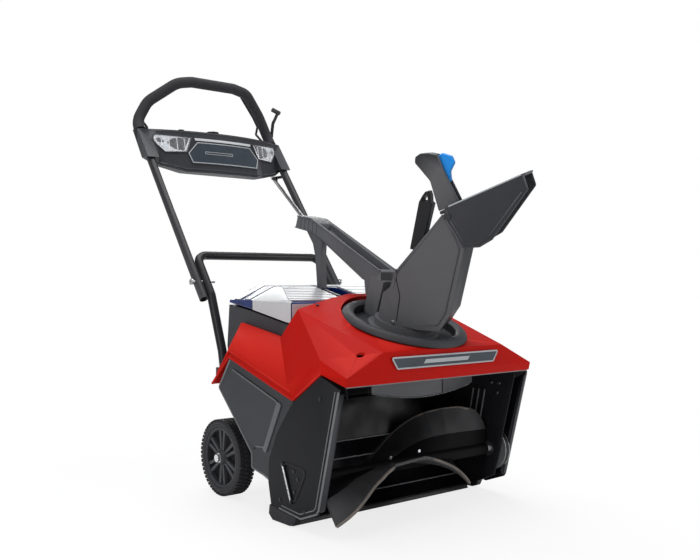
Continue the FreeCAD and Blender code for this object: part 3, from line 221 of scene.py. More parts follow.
# The lamp reflectors glow: a painted reflection, emission standing in for the bright reflections in the
# bowls.
GLOWING_REFLECTOR = material("glowing_reflector", (0.86, 0.87, 0.89), rough=0.2, metal=0.25, grain=160, bump=0.5,
                     tone=0.14, tone_scale=90, glow=0.28)
GLOSS_BLACK = material("gloss_black", (0.006, 0.006, 0.0075), rough=0.26, grain=260, bump=0.25, tone=0.3,
                       tone_scale=18, rough_swing=0.1, shine=0.10, wear_and_highlight=(0.10, 0.10, 0.11))
ARM_PLASTIC = material("arm_plastic", (0.115, 0.116, 0.124), rough=0.44, grain=1500, bump=0.3, tone=0.12,
                       wear_and_highlight=(0.26, 0.26, 0.27))
CHUTE_PLASTIC = material("chute_plastic", (0.026, 0.027, 0.031), rough=0.46, grain=1700, bump=0.35,
                         tone=0.08, shine=0.12, wear_and_highlight=(0.2, 0.2, 0.21))
DULL_BLACK = material("dull_black", (0.006, 0.006, 0.007), rough=0.6, grain=700, bump=0.2, shine=0.08)
# A light grey for raised rims, creases and ribs: a painted highlight standing in for the reflections along
# their rounded edges.
PAINTED_HIGHLIGHT_GREY = material("painted_highlight_grey", (0.16, 0.165, 0.17), rough=0.28, grain=1300, bump=0.08)
WORN_RUBBER = material("worn_rubber", (0.15, 0.13, 0.115), rough=0.6, grain=700, bump=0.5, tone=0.35,
                       tone_scale=30)
SEAM = material("seam", (0.006, 0.006, 0.007), rough=0.7, grain=1300, bump=0.1)


# ---------------------------------------------------------------- pieces

CREASE_ANGLE = 35.0
EDGE_ANGLE = 26.0
FINE_EDGE_ANGLE = 40.0
# Edges rounded by this much or more are rounded only where there is room.
WIDE_EDGE = 1.2
FINE_EDGE = 0.8
ROOM_PER_WIDTH = 1.8
WIDE_SEGMENTS = 5
MERGE_DISTANCE = 1e-5
FLAT_ANGLE = 0.6
ARC_STEPS = 5
# An arc takes no more than this share of the run on either side of its corner.
ARC_SHARE = 0.45


def keep(piece, body, slot, paint=None):
    """Give a finished piece its body and its material, the slot's own unless a paint is given."""
    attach(piece, body)
    piece.data.materials.clear()
    piece.data.materials.append(paint or MATERIALS[slot])
    return piece


def add_bevel(piece, width, segments=3, angle=EDGE_ANGLE):
    """Round off the hard edges; width in millimetres."""
    bevel = piece.modifiers.new("rounded", "BEVEL")
    bevel.width = width / 1000
    bevel.segments = segments
    bevel.limit_method = "ANGLE"
    bevel.angle_limit = math.radians(angle)
    bevel.harden_normals = True
    bevel.use_clamp_overlap = True


def smooth_by_angle(mesh):
    """Shade smoothly everywhere but at the hard edges."""
    for polygon in mesh.polygons:
        polygon.use_smooth = True
    work = bmesh.new()
    work.from_mesh(mesh)
    for edge in work.edges:
        if len(edge.link_faces) == 2:
            edge.smooth = edge.calc_face_angle(0.0) < math.radians(CREASE_ANGLE)
    work.to_mesh(mesh)
    work.free()


def weigh_long_edges(work, width, angle):
    """Mark for rounding the hard edges that have room for it; width in millimetres."""
    weight = work.edges.layers.float.new("bevel_weight_edge")
    room = width * ROOM_PER_WIDTH / 1000
    for edge in work.edges:
        if len(edge.link_faces) != 2 or edge.calc_face_angle(0.0) < math.radians(angle):
            continue
        beside = [other.calc_length() for vert in edge.verts for other in vert.link_edges]
        if min(beside) > room:
            edge[weight] = 1.0


def refined(node, bevel, paint, angle):
    """A clean copy of a CAD node with its hard edges rounded, which stands for that node."""
    mesh = frame["nodes"][node].data.copy()
    if "custom_normal" in mesh.attributes:
        mesh.attributes.remove(mesh.attributes["custom_normal"])
    work = bmesh.new()
    work.from_mesh(mesh)
    bmesh.ops.remove_doubles(work, verts=work.verts, dist=MERGE_DISTANCE)
    bmesh.ops.dissolve_limit(work, angle_limit=math.radians(FLAT_ANGLE), verts=work.verts, edges=work.edges)
    if bevel >= WIDE_EDGE:
        weigh_long_edges(work, bevel, angle)
    work.to_mesh(mesh)
    work.free()
    smooth_by_angle(mesh)
    piece = bpy.data.objects.new(node + "_skin", mesh)
    bpy.context.collection.objects.link(piece)
    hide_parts(node)
    keep(piece, BODY_OF[node], SLOT_OF[node], paint)
    if bevel >= WIDE_EDGE:
        soften = piece.modifiers.new("soft_edges", "BEVEL")
        soften.width = bevel / 1000
        soften.segments = WIDE_SEGMENTS
        soften.limit_method = "WEIGHT"
        soften.harden_normals = True
    if bevel:
        add_bevel(piece, min(bevel, FINE_EDGE), 2, FINE_EDGE_ANGLE)


def from_faces(name, corners, faces, body, slot, paint=None, bevel=0.0):
    """A piece from corners and faces."""
    mesh = bpy.data.meshes.new(name)
    mesh.from_pydata([tuple(corner) for corner in corners], [], faces)
    mesh.validate()
    work = bmesh.new()
    work.from_mesh(mesh)
    bmesh.ops.recalc_face_normals(work, faces=work.faces)
    work.to_mesh(mesh)
    work.free()
    smooth_by_angle(mesh)
    piece = bpy.data.objects.new(name, mesh)
    bpy.context.collection.objects.link(piece)
    keep(piece, body, slot, paint)
    if bevel:
        add_bevel(piece, bevel)
    return piece


def plate(name, ring, depth, body, slot, paint=None, bevel=0.6):
    """A flat piece: a ring of points and its copy moved by depth, in metres."""
    count = len(ring)
    corners = list(ring) + [point + depth for point in ring]
    faces = [tuple(range(count)), tuple(range(2 * count - 1, count - 1, -1))]
    for index in range(count):
        after = (index + 1) % count
        faces.append((index, after, count + after, count + index))
    return from_faces(name, corners, faces, body, slot, paint, bevel)


def rounded(points, radius, closed=False):
    """The points with their corners turned into short arcs; radius in millimetres."""
    result = []
    count = len(points)
    for index, corner in enumerate(points):
        if not closed and index in (0, count - 1):
            result.append(corner.copy())
            continue
        before = points[index - 1] - corner
        after = points[(index + 1) % count] - corner
        half = before.angle(after) / 2
        reach = min(radius / 1000 / math.tan(half), before.length * ARC_SHARE, after.length * ARC_SHARE)
        start = corner + before.normalized() * reach
        end = corner + after.normalized() * reach
        for step in range(ARC_STEPS + 1):
            share = step / ARC_STEPS
            result.append(start * (1 - share) ** 2 + corner * 2 * share * (1 - share) + end * share ** 2)
    return result


def bead(name, points, radius, body, slot, paint=None, corner=8.0, closed=False):
    """A raised round line along a path; radius in millimetres."""
    path = rounded(points, corner, closed=closed)
    curve = bpy.data.curves.new(name, "CURVE")
    curve.dimensions = "3D"
    curve.bevel_depth = radius / 1000
    curve.bevel_resolution = 3
    curve.use_fill_caps = True
    spline = curve.splines.new("POLY")
    spline.points.add(len(path) - 1)
    for point, place in zip(spline.points, path):
        point.co = (*place, 1)
    spline.use_cyclic_u = closed
    holder = bpy.data.objects.new(name + "_path", curve)
    mesh = bpy.data.meshes.new_from_object(holder)
    bpy.data.objects.remove(holder)
    bpy.data.curves.remove(curve)
    piece = bpy.data.objects.new(name, mesh)
    bpy.context.collection.objects.link(piece)
    return keep(piece, body, slot, paint)


def disc(name, centre, axis, radius, depth, body, slot, sides=40, bevel=0.6):
    """A round or many-sided head or cap."""
    along = axis.normalized()
    across = axis.orthogonal().normalized()
    up = along.cross(across)
    ring = []
    for index in range(sides):
        turn = 2 * math.pi * index / sides
        ring.append(centre + (across * math.cos(turn) + up * math.sin(turn)) * radius / 1000)
    return plate(name, ring, along * depth / 1000, body, slot, bevel=bevel)


# ---------------------------------------------------------------- what keeps the CAD shape

EDGE_ROUNDING = {
    "hood": 7.0, "right_side_plate": 1.6, "left_side_plate": 1.6, "auger_housing": 1.2, "belt_side_wall": 0.8,
    "throat_plate": 1.0, "scraper_bar": 1.5, "discharge_duct": 0.6, "rotor_core": 0.8, "front_paddle": 1.6,
    "rear_paddle": 1.6, "main_frame": 3.0, "hood_badge": 0.5, "right_side_cover": 1.4, "left_side_cover": 1.4,
    "battery_box": 4.0, "right_battery_pack": 3.0, "left_battery_pack": 3.0, "battery_lid": 3.0,
    "chute_ring": 1.0, "chute_tower": 2.5, "lower_chute": 3.0, "deflector": 1.4, "deflector_handle": 5.0,
    "deflector_trigger": 3.0, "chute_rack": 1.5, "handle_brackets": 2.5, "console_front": 2.2,
    "console_back": 2.2, "headlight_lenses": 0.7, "light_strip": 0.5, "console_badge": 0.6,
    "start_button": 2.0, "safety_key": 1.5, "rod_guide": 0.8, "chute_gear": 0.3, "chute_pinion": 0.3,
    "motor_pulley": 0.5, "rotor_pulley": 0.5, "drive_motor": 1.5, "axle_nuts": 0.8, "fold_bolts": 0.8,
    "chute_bolts": 0.8, "body_screws": 0.3,
}

# The least angle of an edge that is rounded widely, and the nodes with softer creases to round.
WIDE_EDGE_ANGLE = 24.0
SOFT_CREASES = {"hood": 10.0, "battery_lid": 10.0, "lower_chute": 12.0}


def carry_over(skipped):
    """Every CAD node whose shape is right, with rounded edges and a finished material."""
    paints = {
        "body_screws": MATERIALS["black_plastic"],
        "auger_housing": GLOSS_BLACK,
        "belt_side_wall": GLOSS_BLACK,
        "safety_key": MATERIALS["black_plastic"],
        "start_button": MATERIALS["black_plastic"],
        "throat_plate": MATERIALS["grey_plastic"],
        "chute_tower": ARM_PLASTIC,
        "lower_chute": CHUTE_PLASTIC,
        "rotor_core": DULL_BLACK,
        "discharge_duct": GLOSS_BLACK,
    }
    for node in frame["nodes"]:
        if node not in skipped:
            refined(node, EDGE_ROUNDING.get(node, 0.0), paints.get(node),
                    SOFT_CREASES.get(node, WIDE_EDGE_ANGLE))


# ---------------------------------------------------------------- side plates and covers

PLATE_FACE = 278.0
COVER_FACE = 274.0
SKID_FACE = 262.5


def plate_details(side):
    """Beads, recess lip, latch rod and skid of one side plate."""
    name = SIDES[side]
    out = Vector((side, 0, 0))

    def face(y, z, lift=0.0):
        return at(side * (PLATE_FACE + lift), y, z)

    # The plate's rim and inner line are painted light grey: painted highlights along the plate's edges.
    edge = [(3.5, 289), (65.5, 51), (71, 43), (124, 23), (200, 30)]
    bead(f"{name}_plate_rim", [face(y, z, -1) for y, z in edge], 2.2, "machine", "black_steel", PAINTED_HIGHLIGHT_GREY,
         corner=6)
    inner = [(12, 289), (74, 55), (80, 49), (126, 32), (190, 37)]
    bead(f"{name}_plate_line", [face(y, z) for y, z in inner], 1.2, "machine", "black_steel", PAINTED_HIGHLIGHT_GREY)
    recess = [(188, 128), (102, 123), (150, 42)]
    bead(f"{name}_recess_lip", [face(y, z, 0.2) for y, z in recess], 2.2, "machine", "black_steel",
         corner=14, closed=True)
    bead(f"{name}_latch_rod", [face(184, 122, 2.0), face(155, 53, 2.0)], 2.6, "machine", "bare_steel")
    for number, (y, z) in enumerate([(184.5, 123), (154.5, 52)]):
        disc(f"{name}_rod_end_{number}", face(y, z, -1.2), out, 4.6, 5.6, "machine", "black_plastic")
    skid = [(138, 22), (146, 6), (160, 1), (222, 1), (236, 12), (233, 32), (190, 27)]
    plate(f"{name}_skid", [at(side * SKID_FACE, y, z) for y, z in skid], out * 0.0172, "machine",
          "black_plastic", bevel=2.0)


def cover_details(side):
    """Raised panel, crease, band and rim of one side cover."""
    name = SIDES[side]
    out = Vector((side, 0, 0))

    def face(y, z, lift=0.0):
        return at(side * (COVER_FACE + lift), y, z)

    panel = [(386, 303), (204, 247), (257, 146), (296, 143), (371, 197), (436, 256)]
    ring = rounded([face(y, z) for y, z in panel], 9, closed=True)
    plate(f"{name}_cover_panel", ring, out * 0.0022, "machine", "charcoal_plastic", bevel=1.4)
    # The crease is painted light grey: a painted highlight along it.
    crease = [(384, 302), (205, 247), (257, 147), (290, 144)]
    bead(f"{name}_cover_crease", [face(y, z, 2.0) for y, z in crease], 1.5, "machine", "charcoal_plastic",
         PAINTED_HIGHLIGHT_GREY, corner=10)
    band = [(209, 250), (195, 244), (246, 146), (252, 134), (264, 142), (257, 152)]
    ring = rounded([face(y, z) for y, z in band], 6, closed=True)
    plate(f"{name}_cover_band", ring, out * 0.0034, "machine", "charcoal_plastic", ARM_PLASTIC, bevel=2.2)
    rim = [(398, 324), (446, 257), (374, 190), (308, 127), (308, 96), (264, 88), (244, 82)]
    bead(f"{name}_cover_rim", [face(y, z, -1.5) for y, z in rim], 3.0, "machine", "charcoal_plastic",
         ARM_PLASTIC, corner=7)


# ---------------------------------------------------------------- wheels

TREAD_BLOCKS = 54
TREAD_FOOT = 86.0
TREAD_TOP = 88.7
# A block's half width as a share of the pitch, and how much narrower its top is.
TREAD_HALF = 0.39
TREAD_TAPER = 0.88
# Where each row of blocks starts and ends along the axle, and its shift in pitches.
TREAD_ROWS = [(-11.5, -1.2, 0.0), (-27.0, -15.0, 0.5), (-40.8, -30.5, 0.0)]
SPOKE_PAIRS = 6
SPOKE_ROOT = 0.015
SPOKE_TIP = 0.0645
SPOKE_HALF_ROOT = 0.0032
SPOKE_HALF_TIP = 0.0044
SPOKE_SETBACK = 0.0065
SPOKE_DEPTH = 0.012
ROOT_SPREAD = 15
TIP_SPREAD = 8.5


def radial(turn):
    """The direction away from a wheel's axle at an angle from straight behind."""
    return Vector((0, math.cos(turn), math.sin(turn)))


def revolved(name, profile, centre, axis, body, slot, paint=None, sides=72, bevel=0.0):
    """A ring turned from a closed profile of (radius, along) in millimetres."""
    count = len(profile)
    corners = []
    for index in range(sides):
        outwards = radial(2 * math.pi * index / sides)
        corners += [centre + outwards * reach / 1000 + axis * along / 1000 for reach, along in profile]
    faces = []
    for index in range(sides):
        here = index * count
        there = (index + 1) % sides * count
        for point in range(count):
            after = (point + 1) % count
            faces.append((here + point, there + point, there + after, here + after))
    return from_faces(name, corners, faces, body, slot, paint, bevel)


def tread(name, centre, axis, body):
    """The tyre's three rows of blocks."""
    corners = []
    faces = []
    pitch = 2 * math.pi / TREAD_BLOCKS
    for row_start, row_end, shift in TREAD_ROWS:
        for block in range(TREAD_BLOCKS):
            turn = pitch * (block + shift)
            a = len(corners)
            for reach, swell in ((TREAD_FOOT, 1.0), (TREAD_TOP, TREAD_TAPER)):
                for along in (row_start, row_end):
                    for sign in (-1, 1):
                        outwards = radial(turn + sign * pitch * TREAD_HALF * swell)
                        corners.append(centre + outwards * reach / 1000 + axis * along / 1000)
            faces += [(a, a + 1, a + 3, a + 2), (a + 4, a + 6, a + 7, a + 5), (a, a + 4, a + 5, a + 1),
                      (a + 2, a + 3, a + 7, a + 6), (a, a + 2, a + 6, a + 4), (a + 1, a + 5, a + 7, a + 3)]
    from_faces(f"{name}_tread_blocks", corners, faces, body, "tyre_rubber", bevel=0.5)


def spokes(name, centre, axis, body):
    """Six pairs of spokes that lean together towards the rim."""
    for pair in range(SPOKE_PAIRS):
        for twin, letter in ((-1, "a"), (1, "b")):
            middle = 360 / SPOKE_PAIRS * (pair + 0.5)
            root = radial(math.radians(middle + twin * ROOT_SPREAD)) * SPOKE_ROOT
            tip = radial(math.radians(middle + twin * TIP_SPREAD)) * SPOKE_TIP
            wide = axis.cross((tip - root).normalized()).normalized()
            ring = [root + wide * SPOKE_HALF_ROOT, tip + wide * SPOKE_HALF_TIP,
                    tip - wide * SPOKE_HALF_TIP, root - wide * SPOKE_HALF_ROOT]
            ring = [centre + point - axis * SPOKE_SETBACK for point in ring]
            plate(f"{name}_spoke_{pair}_{letter}", ring, -axis * SPOKE_DEPTH, body, "black_plastic",
                  MATERIALS["charcoal_plastic"], bevel=1.2)


def wheel(side):
    """One wheel: a blocky tyre around a moulded hub with six double spokes."""
    name = SIDES[side]
    body = f"{name}_wheel"
    grey = MATERIALS["charcoal_plastic"]
    hub_low, hub_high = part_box(f"{name}_hub")
    middle = (Vector(hub_low) + Vector(hub_high)) / 2
    centre = Vector((hub_high[0] if side > 0 else hub_low[0], middle.y, middle.z))
    axis = Vector((side, 0, 0))

    carcass = [(69.6, -2), (72, 0), (80, 0), (86, -4), (87.0, -9), (87.0, -33), (86, -38), (80, -42),
               (72, -42), (69.6, -41)]
    tyre = revolved(f"{name}_tyre_carcass", carcass, centre, axis, body, "tyre_rubber", sides=96)
    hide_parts(f"{name}_tyre")
    for reach in (73.0, 78.0):
        ridge = [(reach, -0.4), (reach + 1.4, 0.5), (reach + 2.8, -0.4)]
        revolved(f"{name}_tyre_ring_{int(reach)}", ridge, centre, axis, body, "tyre_rubber")
    tread(name, centre, axis, body)

    rim = [(62.5, -5), (64.5, -2.6), (69.4, -2.2), (69.4, -40), (63.5, -40), (62.5, -14)]
    hub = revolved(f"{name}_rim", rim, centre, axis, body, "black_plastic", grey, bevel=0.8)
    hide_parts(f"{name}_hub")
    boss = [(6.2, -36), (17, -36), (18.5, -10), (16, -3), (13, 0), (6.2, 0)]
    revolved(f"{name}_boss", boss, centre, axis, body, "black_plastic", grey, sides=48, bevel=0.8)
    spokes(name, centre, axis, body)
    web = [(17, -15), (63, -15), (63, -17.5), (17, -17.5)]
    revolved(f"{name}_web", web, centre, axis, body, "black_plastic", SEAM)
    washer = [(6.2, 0.2), (10.5, 0.2), (10.5, 1.8), (6.2, 1.8)]
    revolved(f"{name}_washer", washer, centre, axis, "machine", "zinc_fasteners", sides=40)


# ---------------------------------------------------------------- hood and name plate

def hood_details():
    """The border and mark of the front name plate, and the lip under the hood's front edge."""
    outline = [(-141, 326), (141, 326), (156, 348), (-156, 348)]
    bead("hood_badge_border", [at(x, -14.8, z) for x, z in outline], 1.7, "machine", "badge_plate", PALE_LINE,
         corner=3, closed=True)
    ring = [at(x, -15.2, z) for x, z in [(-70, 333), (60, 333), (66, 341), (-64, 341)]]
    plate("hood_badge_mark", ring, Vector((0, -0.0008, 0)), "machine", "badge_plate", PALE_LINE, bevel=0.3)
    lip = [at(-266, -6, 298), at(266, -6, 298)]
    bead("hood_front_lip", lip, 2.4, "machine", "black_plastic", MATERIALS["grey_plastic"])


def hood_flange(side):
    """The turned-out lower edge of the hood's side, with its crease line above."""
    name = SIDES[side]
    low = [(470, 262), (398, 328), (152, 257), (58, 318)]
    rim = [at(side * 277.4, y, z + 1.5) for y, z in low]
    bead(f"{name}_hood_rim", rim, 2.6, "machine", "red_shell", corner=9)
    crease = [(452, 290), (401, 343), (163, 273)]
    bead(f"{name}_hood_crease", [at(side * 274.6, y, z) for y, z in crease], 2.0, "machine", "red_shell",
         corner=12)


# ---------------------------------------------------------------- lid

# Height of the lid's crown and of its lower edge at places along the machine.
LID_CROWN = [(273, 452), (400, 484), (523, 489), (533, 489)]
LID_FOOT = [(273, 405.5), (297, 409), (424, 432), (533, 447.8)]
# Across a wing: the notch in the middle, where the full height starts to fall, and the wing's edge.
NOTCH = 37
WING_FALLS = 112
WING_EDGE = 194
WING_PEAK = 492
WING_SLOPE = 40 / 88
PANEL_FOOT = 0.2
LOUVRES = 9
LOUVRE_START = 284
LOUVRE_PITCH = 14
LOUVRE_WIDTH = 8.5


def height_at(marks, y):
    """The height at a distance along the machine, between marks of (distance, height)."""
    for before, after in zip(marks, marks[1:]):
        if y <= after[0]:
            share = (y - before[0]) / (after[0] - before[0])
            return before[1] + share * (after[1] - before[1])
    return marks[-1][1]


def lid_section(side, y, lift):
    """Points across one wing of the lid from its lower edge to the notch, lifted off its surface."""
    crown = height_at(LID_CROWN, y)
    shoulder = min(crown, WING_PEAK - (WING_EDGE - WING_FALLS) * WING_SLOPE)
    bend = WING_FALLS + (WING_PEAK - crown) / WING_SLOPE
    return [at(side * (WING_EDGE + lift), y, height_at(LID_FOOT, y) + 1),
            at(side * (WING_EDGE + lift), y, shoulder - 1),
            at(side * (WING_EDGE - 3 + lift * 0.4), y, shoulder + 1.4 + lift),
            at(side * min(bend, WING_EDGE - 4), y, crown + lift), at(side * NOTCH, y, crown + lift)]


def lid_panel(name, side, stations, lift, start, end):
    """A thin pale skin on one wing of the lid; stations are distances along the machine."""
    outside = [lid_section(side, y, lift)[start:end] for y in stations]
    inside = [lid_section(side, y, PANEL_FOOT)[start:end] for y in stations]
    width = end - start
    corners = [point for row in outside + inside for point in row]
    back = len(stations) * width
    faces = []
    for row in range(len(stations) - 1):
        for column in range(width - 1):
            a = row * width + column
            faces.append((a, a + 1, a + width + 1, a + width))
            faces.append((back + a, back + a + width, back + a + width + 1, back + a + 1))
    for column in range(width - 1):
        for row in (0, len(stations) - 1):
            a = row * width + column
            faces.append((a, a + 1, back + a + 1, back + a))
    for row in range(len(stations) - 1):
        for column in (0, width - 1):
            a = row * width + column
            faces.append((a, a + width, back + a + width, back + a))
    return from_faces(name, corners, faces, "battery_lid", "lid_shell", PALE_PANEL, bevel=0.8)


def lid_details():
    """Pale side panels, pale bands and louvres over the navy lid."""
    for side, name in SIDES.items():
        lid_panel(f"{name}_lid_side_panel", side, [273.5, 297, 340, 400, 426], 1.8, 0, 4)
        face = [at(side * x, 272.6, z) for x, z in [(38, 412), (192, 408), (192, 449), (38, 450)]]
        plate(f"{name}_lid_front_panel", face, Vector((0, -0.0014, 0)), "battery_lid", "lid_shell",
              PALE_PANEL)
        lid_panel(f"{name}_lid_band_rear", side, [486, 500, 514], 1.6, 2, 5)
        lid_panel(f"{name}_lid_band_middle", side, [444, 456, 468], 1.6, 2, 5)
        for number in range(LOUVRES):
            start = LOUVRE_START + number * LOUVRE_PITCH
            lid_panel(f"{name}_lid_louvre_{number}", side, [start, start + LOUVRE_WIDTH], 4.0, 3, 5)


# ---------------------------------------------------------------- chute and deflector

def chute_details():
    """Raised lines, creases and mouth rim of the chute and its deflector, with a painted highlight along the
    deflector's top edge.
    """
    for side, name in SIDES.items():
        wall = side * 60.2
        front_line = [(50, 262), (92, 208), (94, 70), (84, 38), (42, 29)]
        bead(f"{name}_chute_line", [on_chute(s, z, wall) for s, z in front_line], 1.3, "chute",
             "charcoal_plastic", corner=14)
        back_line = [(42, 268), (-26, 128), (-29, 92)]
        bead(f"{name}_chute_back_line", [on_chute(s, z, side * 59.4) for s, z in back_line], 2.4, "chute",
             "charcoal_plastic", corner=40)
        seam = [(-30, 134), (-25, 112), (-9, 78), (-5, 24)]
        bead(f"{name}_chute_seam", [on_chute(s, z, wall) for s, z in seam], 0.9, "chute",
             "charcoal_plastic", SEAM, corner=40)
        cheek = side * 65.2
        low_line = [(60, 262), (100, 223), (128, 233), (145, 251), (187, 352)]
        bead(f"{name}_deflector_line", [on_chute(s, z, cheek) for s, z in low_line], 1.2, "deflector",
             "charcoal_plastic", corner=8)
        rim = [(181, 386), (197, 360), (152, 246), (131, 225), (100, 215), (50, 262)]
        bead(f"{name}_deflector_rim", [on_chute(s, z, side * 64.6) for s, z in rim], 2.0, "deflector",
             "charcoal_plastic", corner=6)
        disc(f"{name}_deflector_pivot", on_chute(54, 268, side * 65.3), CHUTE_SIDE * side, 6.5, 3.6,
             "deflector", "charcoal_plastic", bevel=1.2)
        # A pale bead along the deflector's top edge is a painted highlight: its top face lit at a grazing
        # angle.
        top_line = [(50, 288.5), (178, 384.5)]
        bead(f"{name}_deflector_top_highlight", [on_chute(s, z, side * 63.4) for s, z in top_line], 1.9,
             "deflector", "charcoal_plastic", PALE_LINE)
    heel = [(26, 268), (43, 282.5), (46, 280), (37, 268.5), (32, 263), (28, 263)]
    plate("handle_heel", [on_chute(s, z, -22) for s, z in heel], CHUTE_SIDE * 0.044, "deflector",
          "charcoal_plastic", bevel=1.5)
    bead("deflector_mouth_rim", [on_chute(183, 386.5, -62), on_chute(183, 386.5, 62)], 2.6, "deflector",
         "charcoal_plastic")


ARM_FACE = 25.2
ARM_RIB_RISE = 0.32


def tower_details():
    """Ribs and raised edges along the tower's arm."""
    for side, name in SIDES.items():
        face = side * ARM_FACE
        upper = [(170, 523), (430, 654), (482, 663)]
        bead(f"{name}_arm_upper_edge", [at(face, y, z) for y, z in upper], 2.0, "machine", "charcoal_plastic",
             corner=10)
        lower = [(228, 505), (368, 591), (430, 623), (492, 636)]
        bead(f"{name}_arm_lower_edge", [at(face, y, z) for y, z in lower], 1.8, "machine", "charcoal_plastic",
             corner=10)
        for number, y in enumerate((408, 424, 440, 456, 472)):
            rise = (y - 408) * ARM_RIB_RISE
            rib = [at(face, y, 612 + rise), at(face, y - 4, 641 + rise)]
            bead(f"{name}_arm_rib_{number}", rib, 1.7, "machine", "charcoal_plastic")


# ---------------------------------------------------------------- console

# The bowed front face: its lowest height, its height, how far back it leans over that height, where its
# nose is at the bottom, how far its ends lie behind the nose, and its half width.
CONSOLE_LOW = 802
CONSOLE_HEIGHT = 120
CONSOLE_LEAN = 30
CONSOLE_NOSE = 850
CONSOLE_BOW = 64
CONSOLE_HALF = 236
CONSOLE_RADIUS = (CONSOLE_HALF ** 2 + CONSOLE_BOW ** 2) / (2 * CONSOLE_BOW)
BOWL_SHARE = 0.94
LAMP_RIBS = [(122, 864, 899), (142, 863, 901), (163, 862, 902), (182, 868, 903)]


def on_console(x, z, forward):
    """A point on the console's bowed front face, or in front of it."""
    nose = CONSOLE_NOSE + CONSOLE_LEAN * (z - CONSOLE_LOW) / CONSOLE_HEIGHT
    y = nose + CONSOLE_RADIUS - math.sqrt(CONSOLE_RADIUS ** 2 - x ** 2) - forward
    return at(x, y, z)


def stepped(points, forward, steps=10, closed=True):
    """An outline or line on the console's face, each straight run divided so that it follows the bow."""
    result = []
    for (x0, z0), (x1, z1) in zip(points, points[1:] + points[:1]):
        for step in range(steps):
            share = step / steps
            result.append((x0 + (x1 - x0) * share, z0 + (z1 - z0) * share))
    if not closed:
        result = result[:(len(points) - 1) * steps + 1]
    return [on_console(x, z, forward) for x, z in result]


def lamp_details(side):
    """Border, bowl and ribs of one lamp; the bowl and ribs glow as a painted reflection."""
    name = SIDES[side]
    lamp = [(202.5, 899), (198, 907), (100, 902), (117, 860), (176, 857), (196, 879), (202.5, 890)]
    outline = [(side * x, z) for x, z in lamp]
    bead(f"{name}_lamp_border", stepped(outline, 1.6), 1.6, "upper_handle", "charcoal_plastic", corner=1,
         closed=True)
    middle_x = sum(x for x, _ in outline) / len(outline)
    middle_z = sum(z for _, z in outline) / len(outline)
    bowl = [(middle_x + (x - middle_x) * BOWL_SHARE, middle_z + (z - middle_z) * BOWL_SHARE)
            for x, z in outline]
    corners = stepped(bowl, 0.25, 6)
    last = len(corners)
    corners.append(on_console(middle_x, middle_z, 0.15))
    faces = [(index, (index + 1) % last, last) for index in range(last)]
    from_faces(f"{name}_lamp_bowl", corners, faces, "upper_handle", "lamp_lens", GLOWING_REFLECTOR)
    for number, (x, low, high) in enumerate(LAMP_RIBS):
        rib = [on_console(side * x, low, 1.2), on_console(side * x, high, 1.2)]
        bead(f"{name}_lamp_rib_{number}", rib, 1.2, "upper_handle", "lamp_lens", GLOWING_REFLECTOR)


def console_details():
    """Lamps, borders and trim lines of the console."""
    body = "upper_handle"
    badge = [(-86, 889), (86, 889), (114, 857), (105, 831), (-105, 831), (-114, 857)]
    bead("console_badge_border", stepped(badge, 2.8), 1.5, body, "badge_plate", PALE_LINE, corner=1,
         closed=True)
    mark = [(-66, 864), (20, 864), (20, 858), (-66, 858)]
    bead("console_badge_mark", stepped(mark, 2.6, 6), 0.9, body, "badge_plate", PALE_LINE, corner=0.5,
         closed=True)
    for side in SIDES:
        lamp_details(side)
    low_edge = [(-190, 826), (-124, 812), (124, 812), (190, 826)]
    bead("console_low_line", stepped(low_edge, 0.3, 8, closed=False), 1.6, body, "charcoal_plastic", corner=1)
    top_edge = [(-202, 918), (202, 918)]
    bead("console_top_line", stepped(top_edge, -0.5, 16, closed=False), 1.8, body, "charcoal_plastic",
         corner=1)


# ---------------------------------------------------------------- rotor chamber

# The outer edge of a paddle is what lies within the band of its longest reach at each step.
TIP_BAND = 1.6
TIP_STEP = 9.0
CHAMBER_Y, CHAMBER_Z, CHAMBER_RIB_RADIUS = 95, 106, 109.6


def tip_line(node):
    """The middle of a paddle's outer edge, step by step along the rotor, in metres."""
    axis = Vector(JOINTS["rotor_spin"]["pos_m"])
    stations = {}
    for vertex in frame["nodes"][node].data.vertices:
        arm = Vector((0, vertex.co.y - axis.y, vertex.co.z - axis.z))
        station = round(vertex.co.x * 1000 / TIP_STEP)
        stations.setdefault(station, []).append((arm.length, vertex.co.x, arm))
    path = []
    for _, points in sorted(stations.items()):
        longest = max(reach for reach, _, _ in points)
        outer = [point for point in points if longest - point[0] < TIP_BAND / 1000]
        along = sum(point[1] for point in outer) / len(outer)
        heading = sum((point[2] for point in outer), Vector()).normalized()
        path.append(Vector((along, axis.y, axis.z)) + heading * longest)
    smooth = [path[0]]
    for index in range(1, len(path) - 1):
        smooth.append((path[index - 1] + path[index] * 2 + path[index + 1]) / 4)
    return smooth + [path[-1]]


def rotor_details():
    """Worn paddle edges, and the bolts that hold the paddles to the core."""
    for node in ("front_paddle", "rear_paddle"):
        bead(f"{node}_worn_edge", tip_line(node), 3.0, "clearing_rotor", "black_rubber", WORN_RUBBER,
             corner=2.0)
    for number, (x, z) in enumerate([(-94, 132.5), (-12, 136.5)]):
        disc(f"core_stud_{number}", at(x, 62, z), Vector((0, -1, 0)), 4.2, 4.5, "clearing_rotor",
             "zinc_fasteners", sides=6)


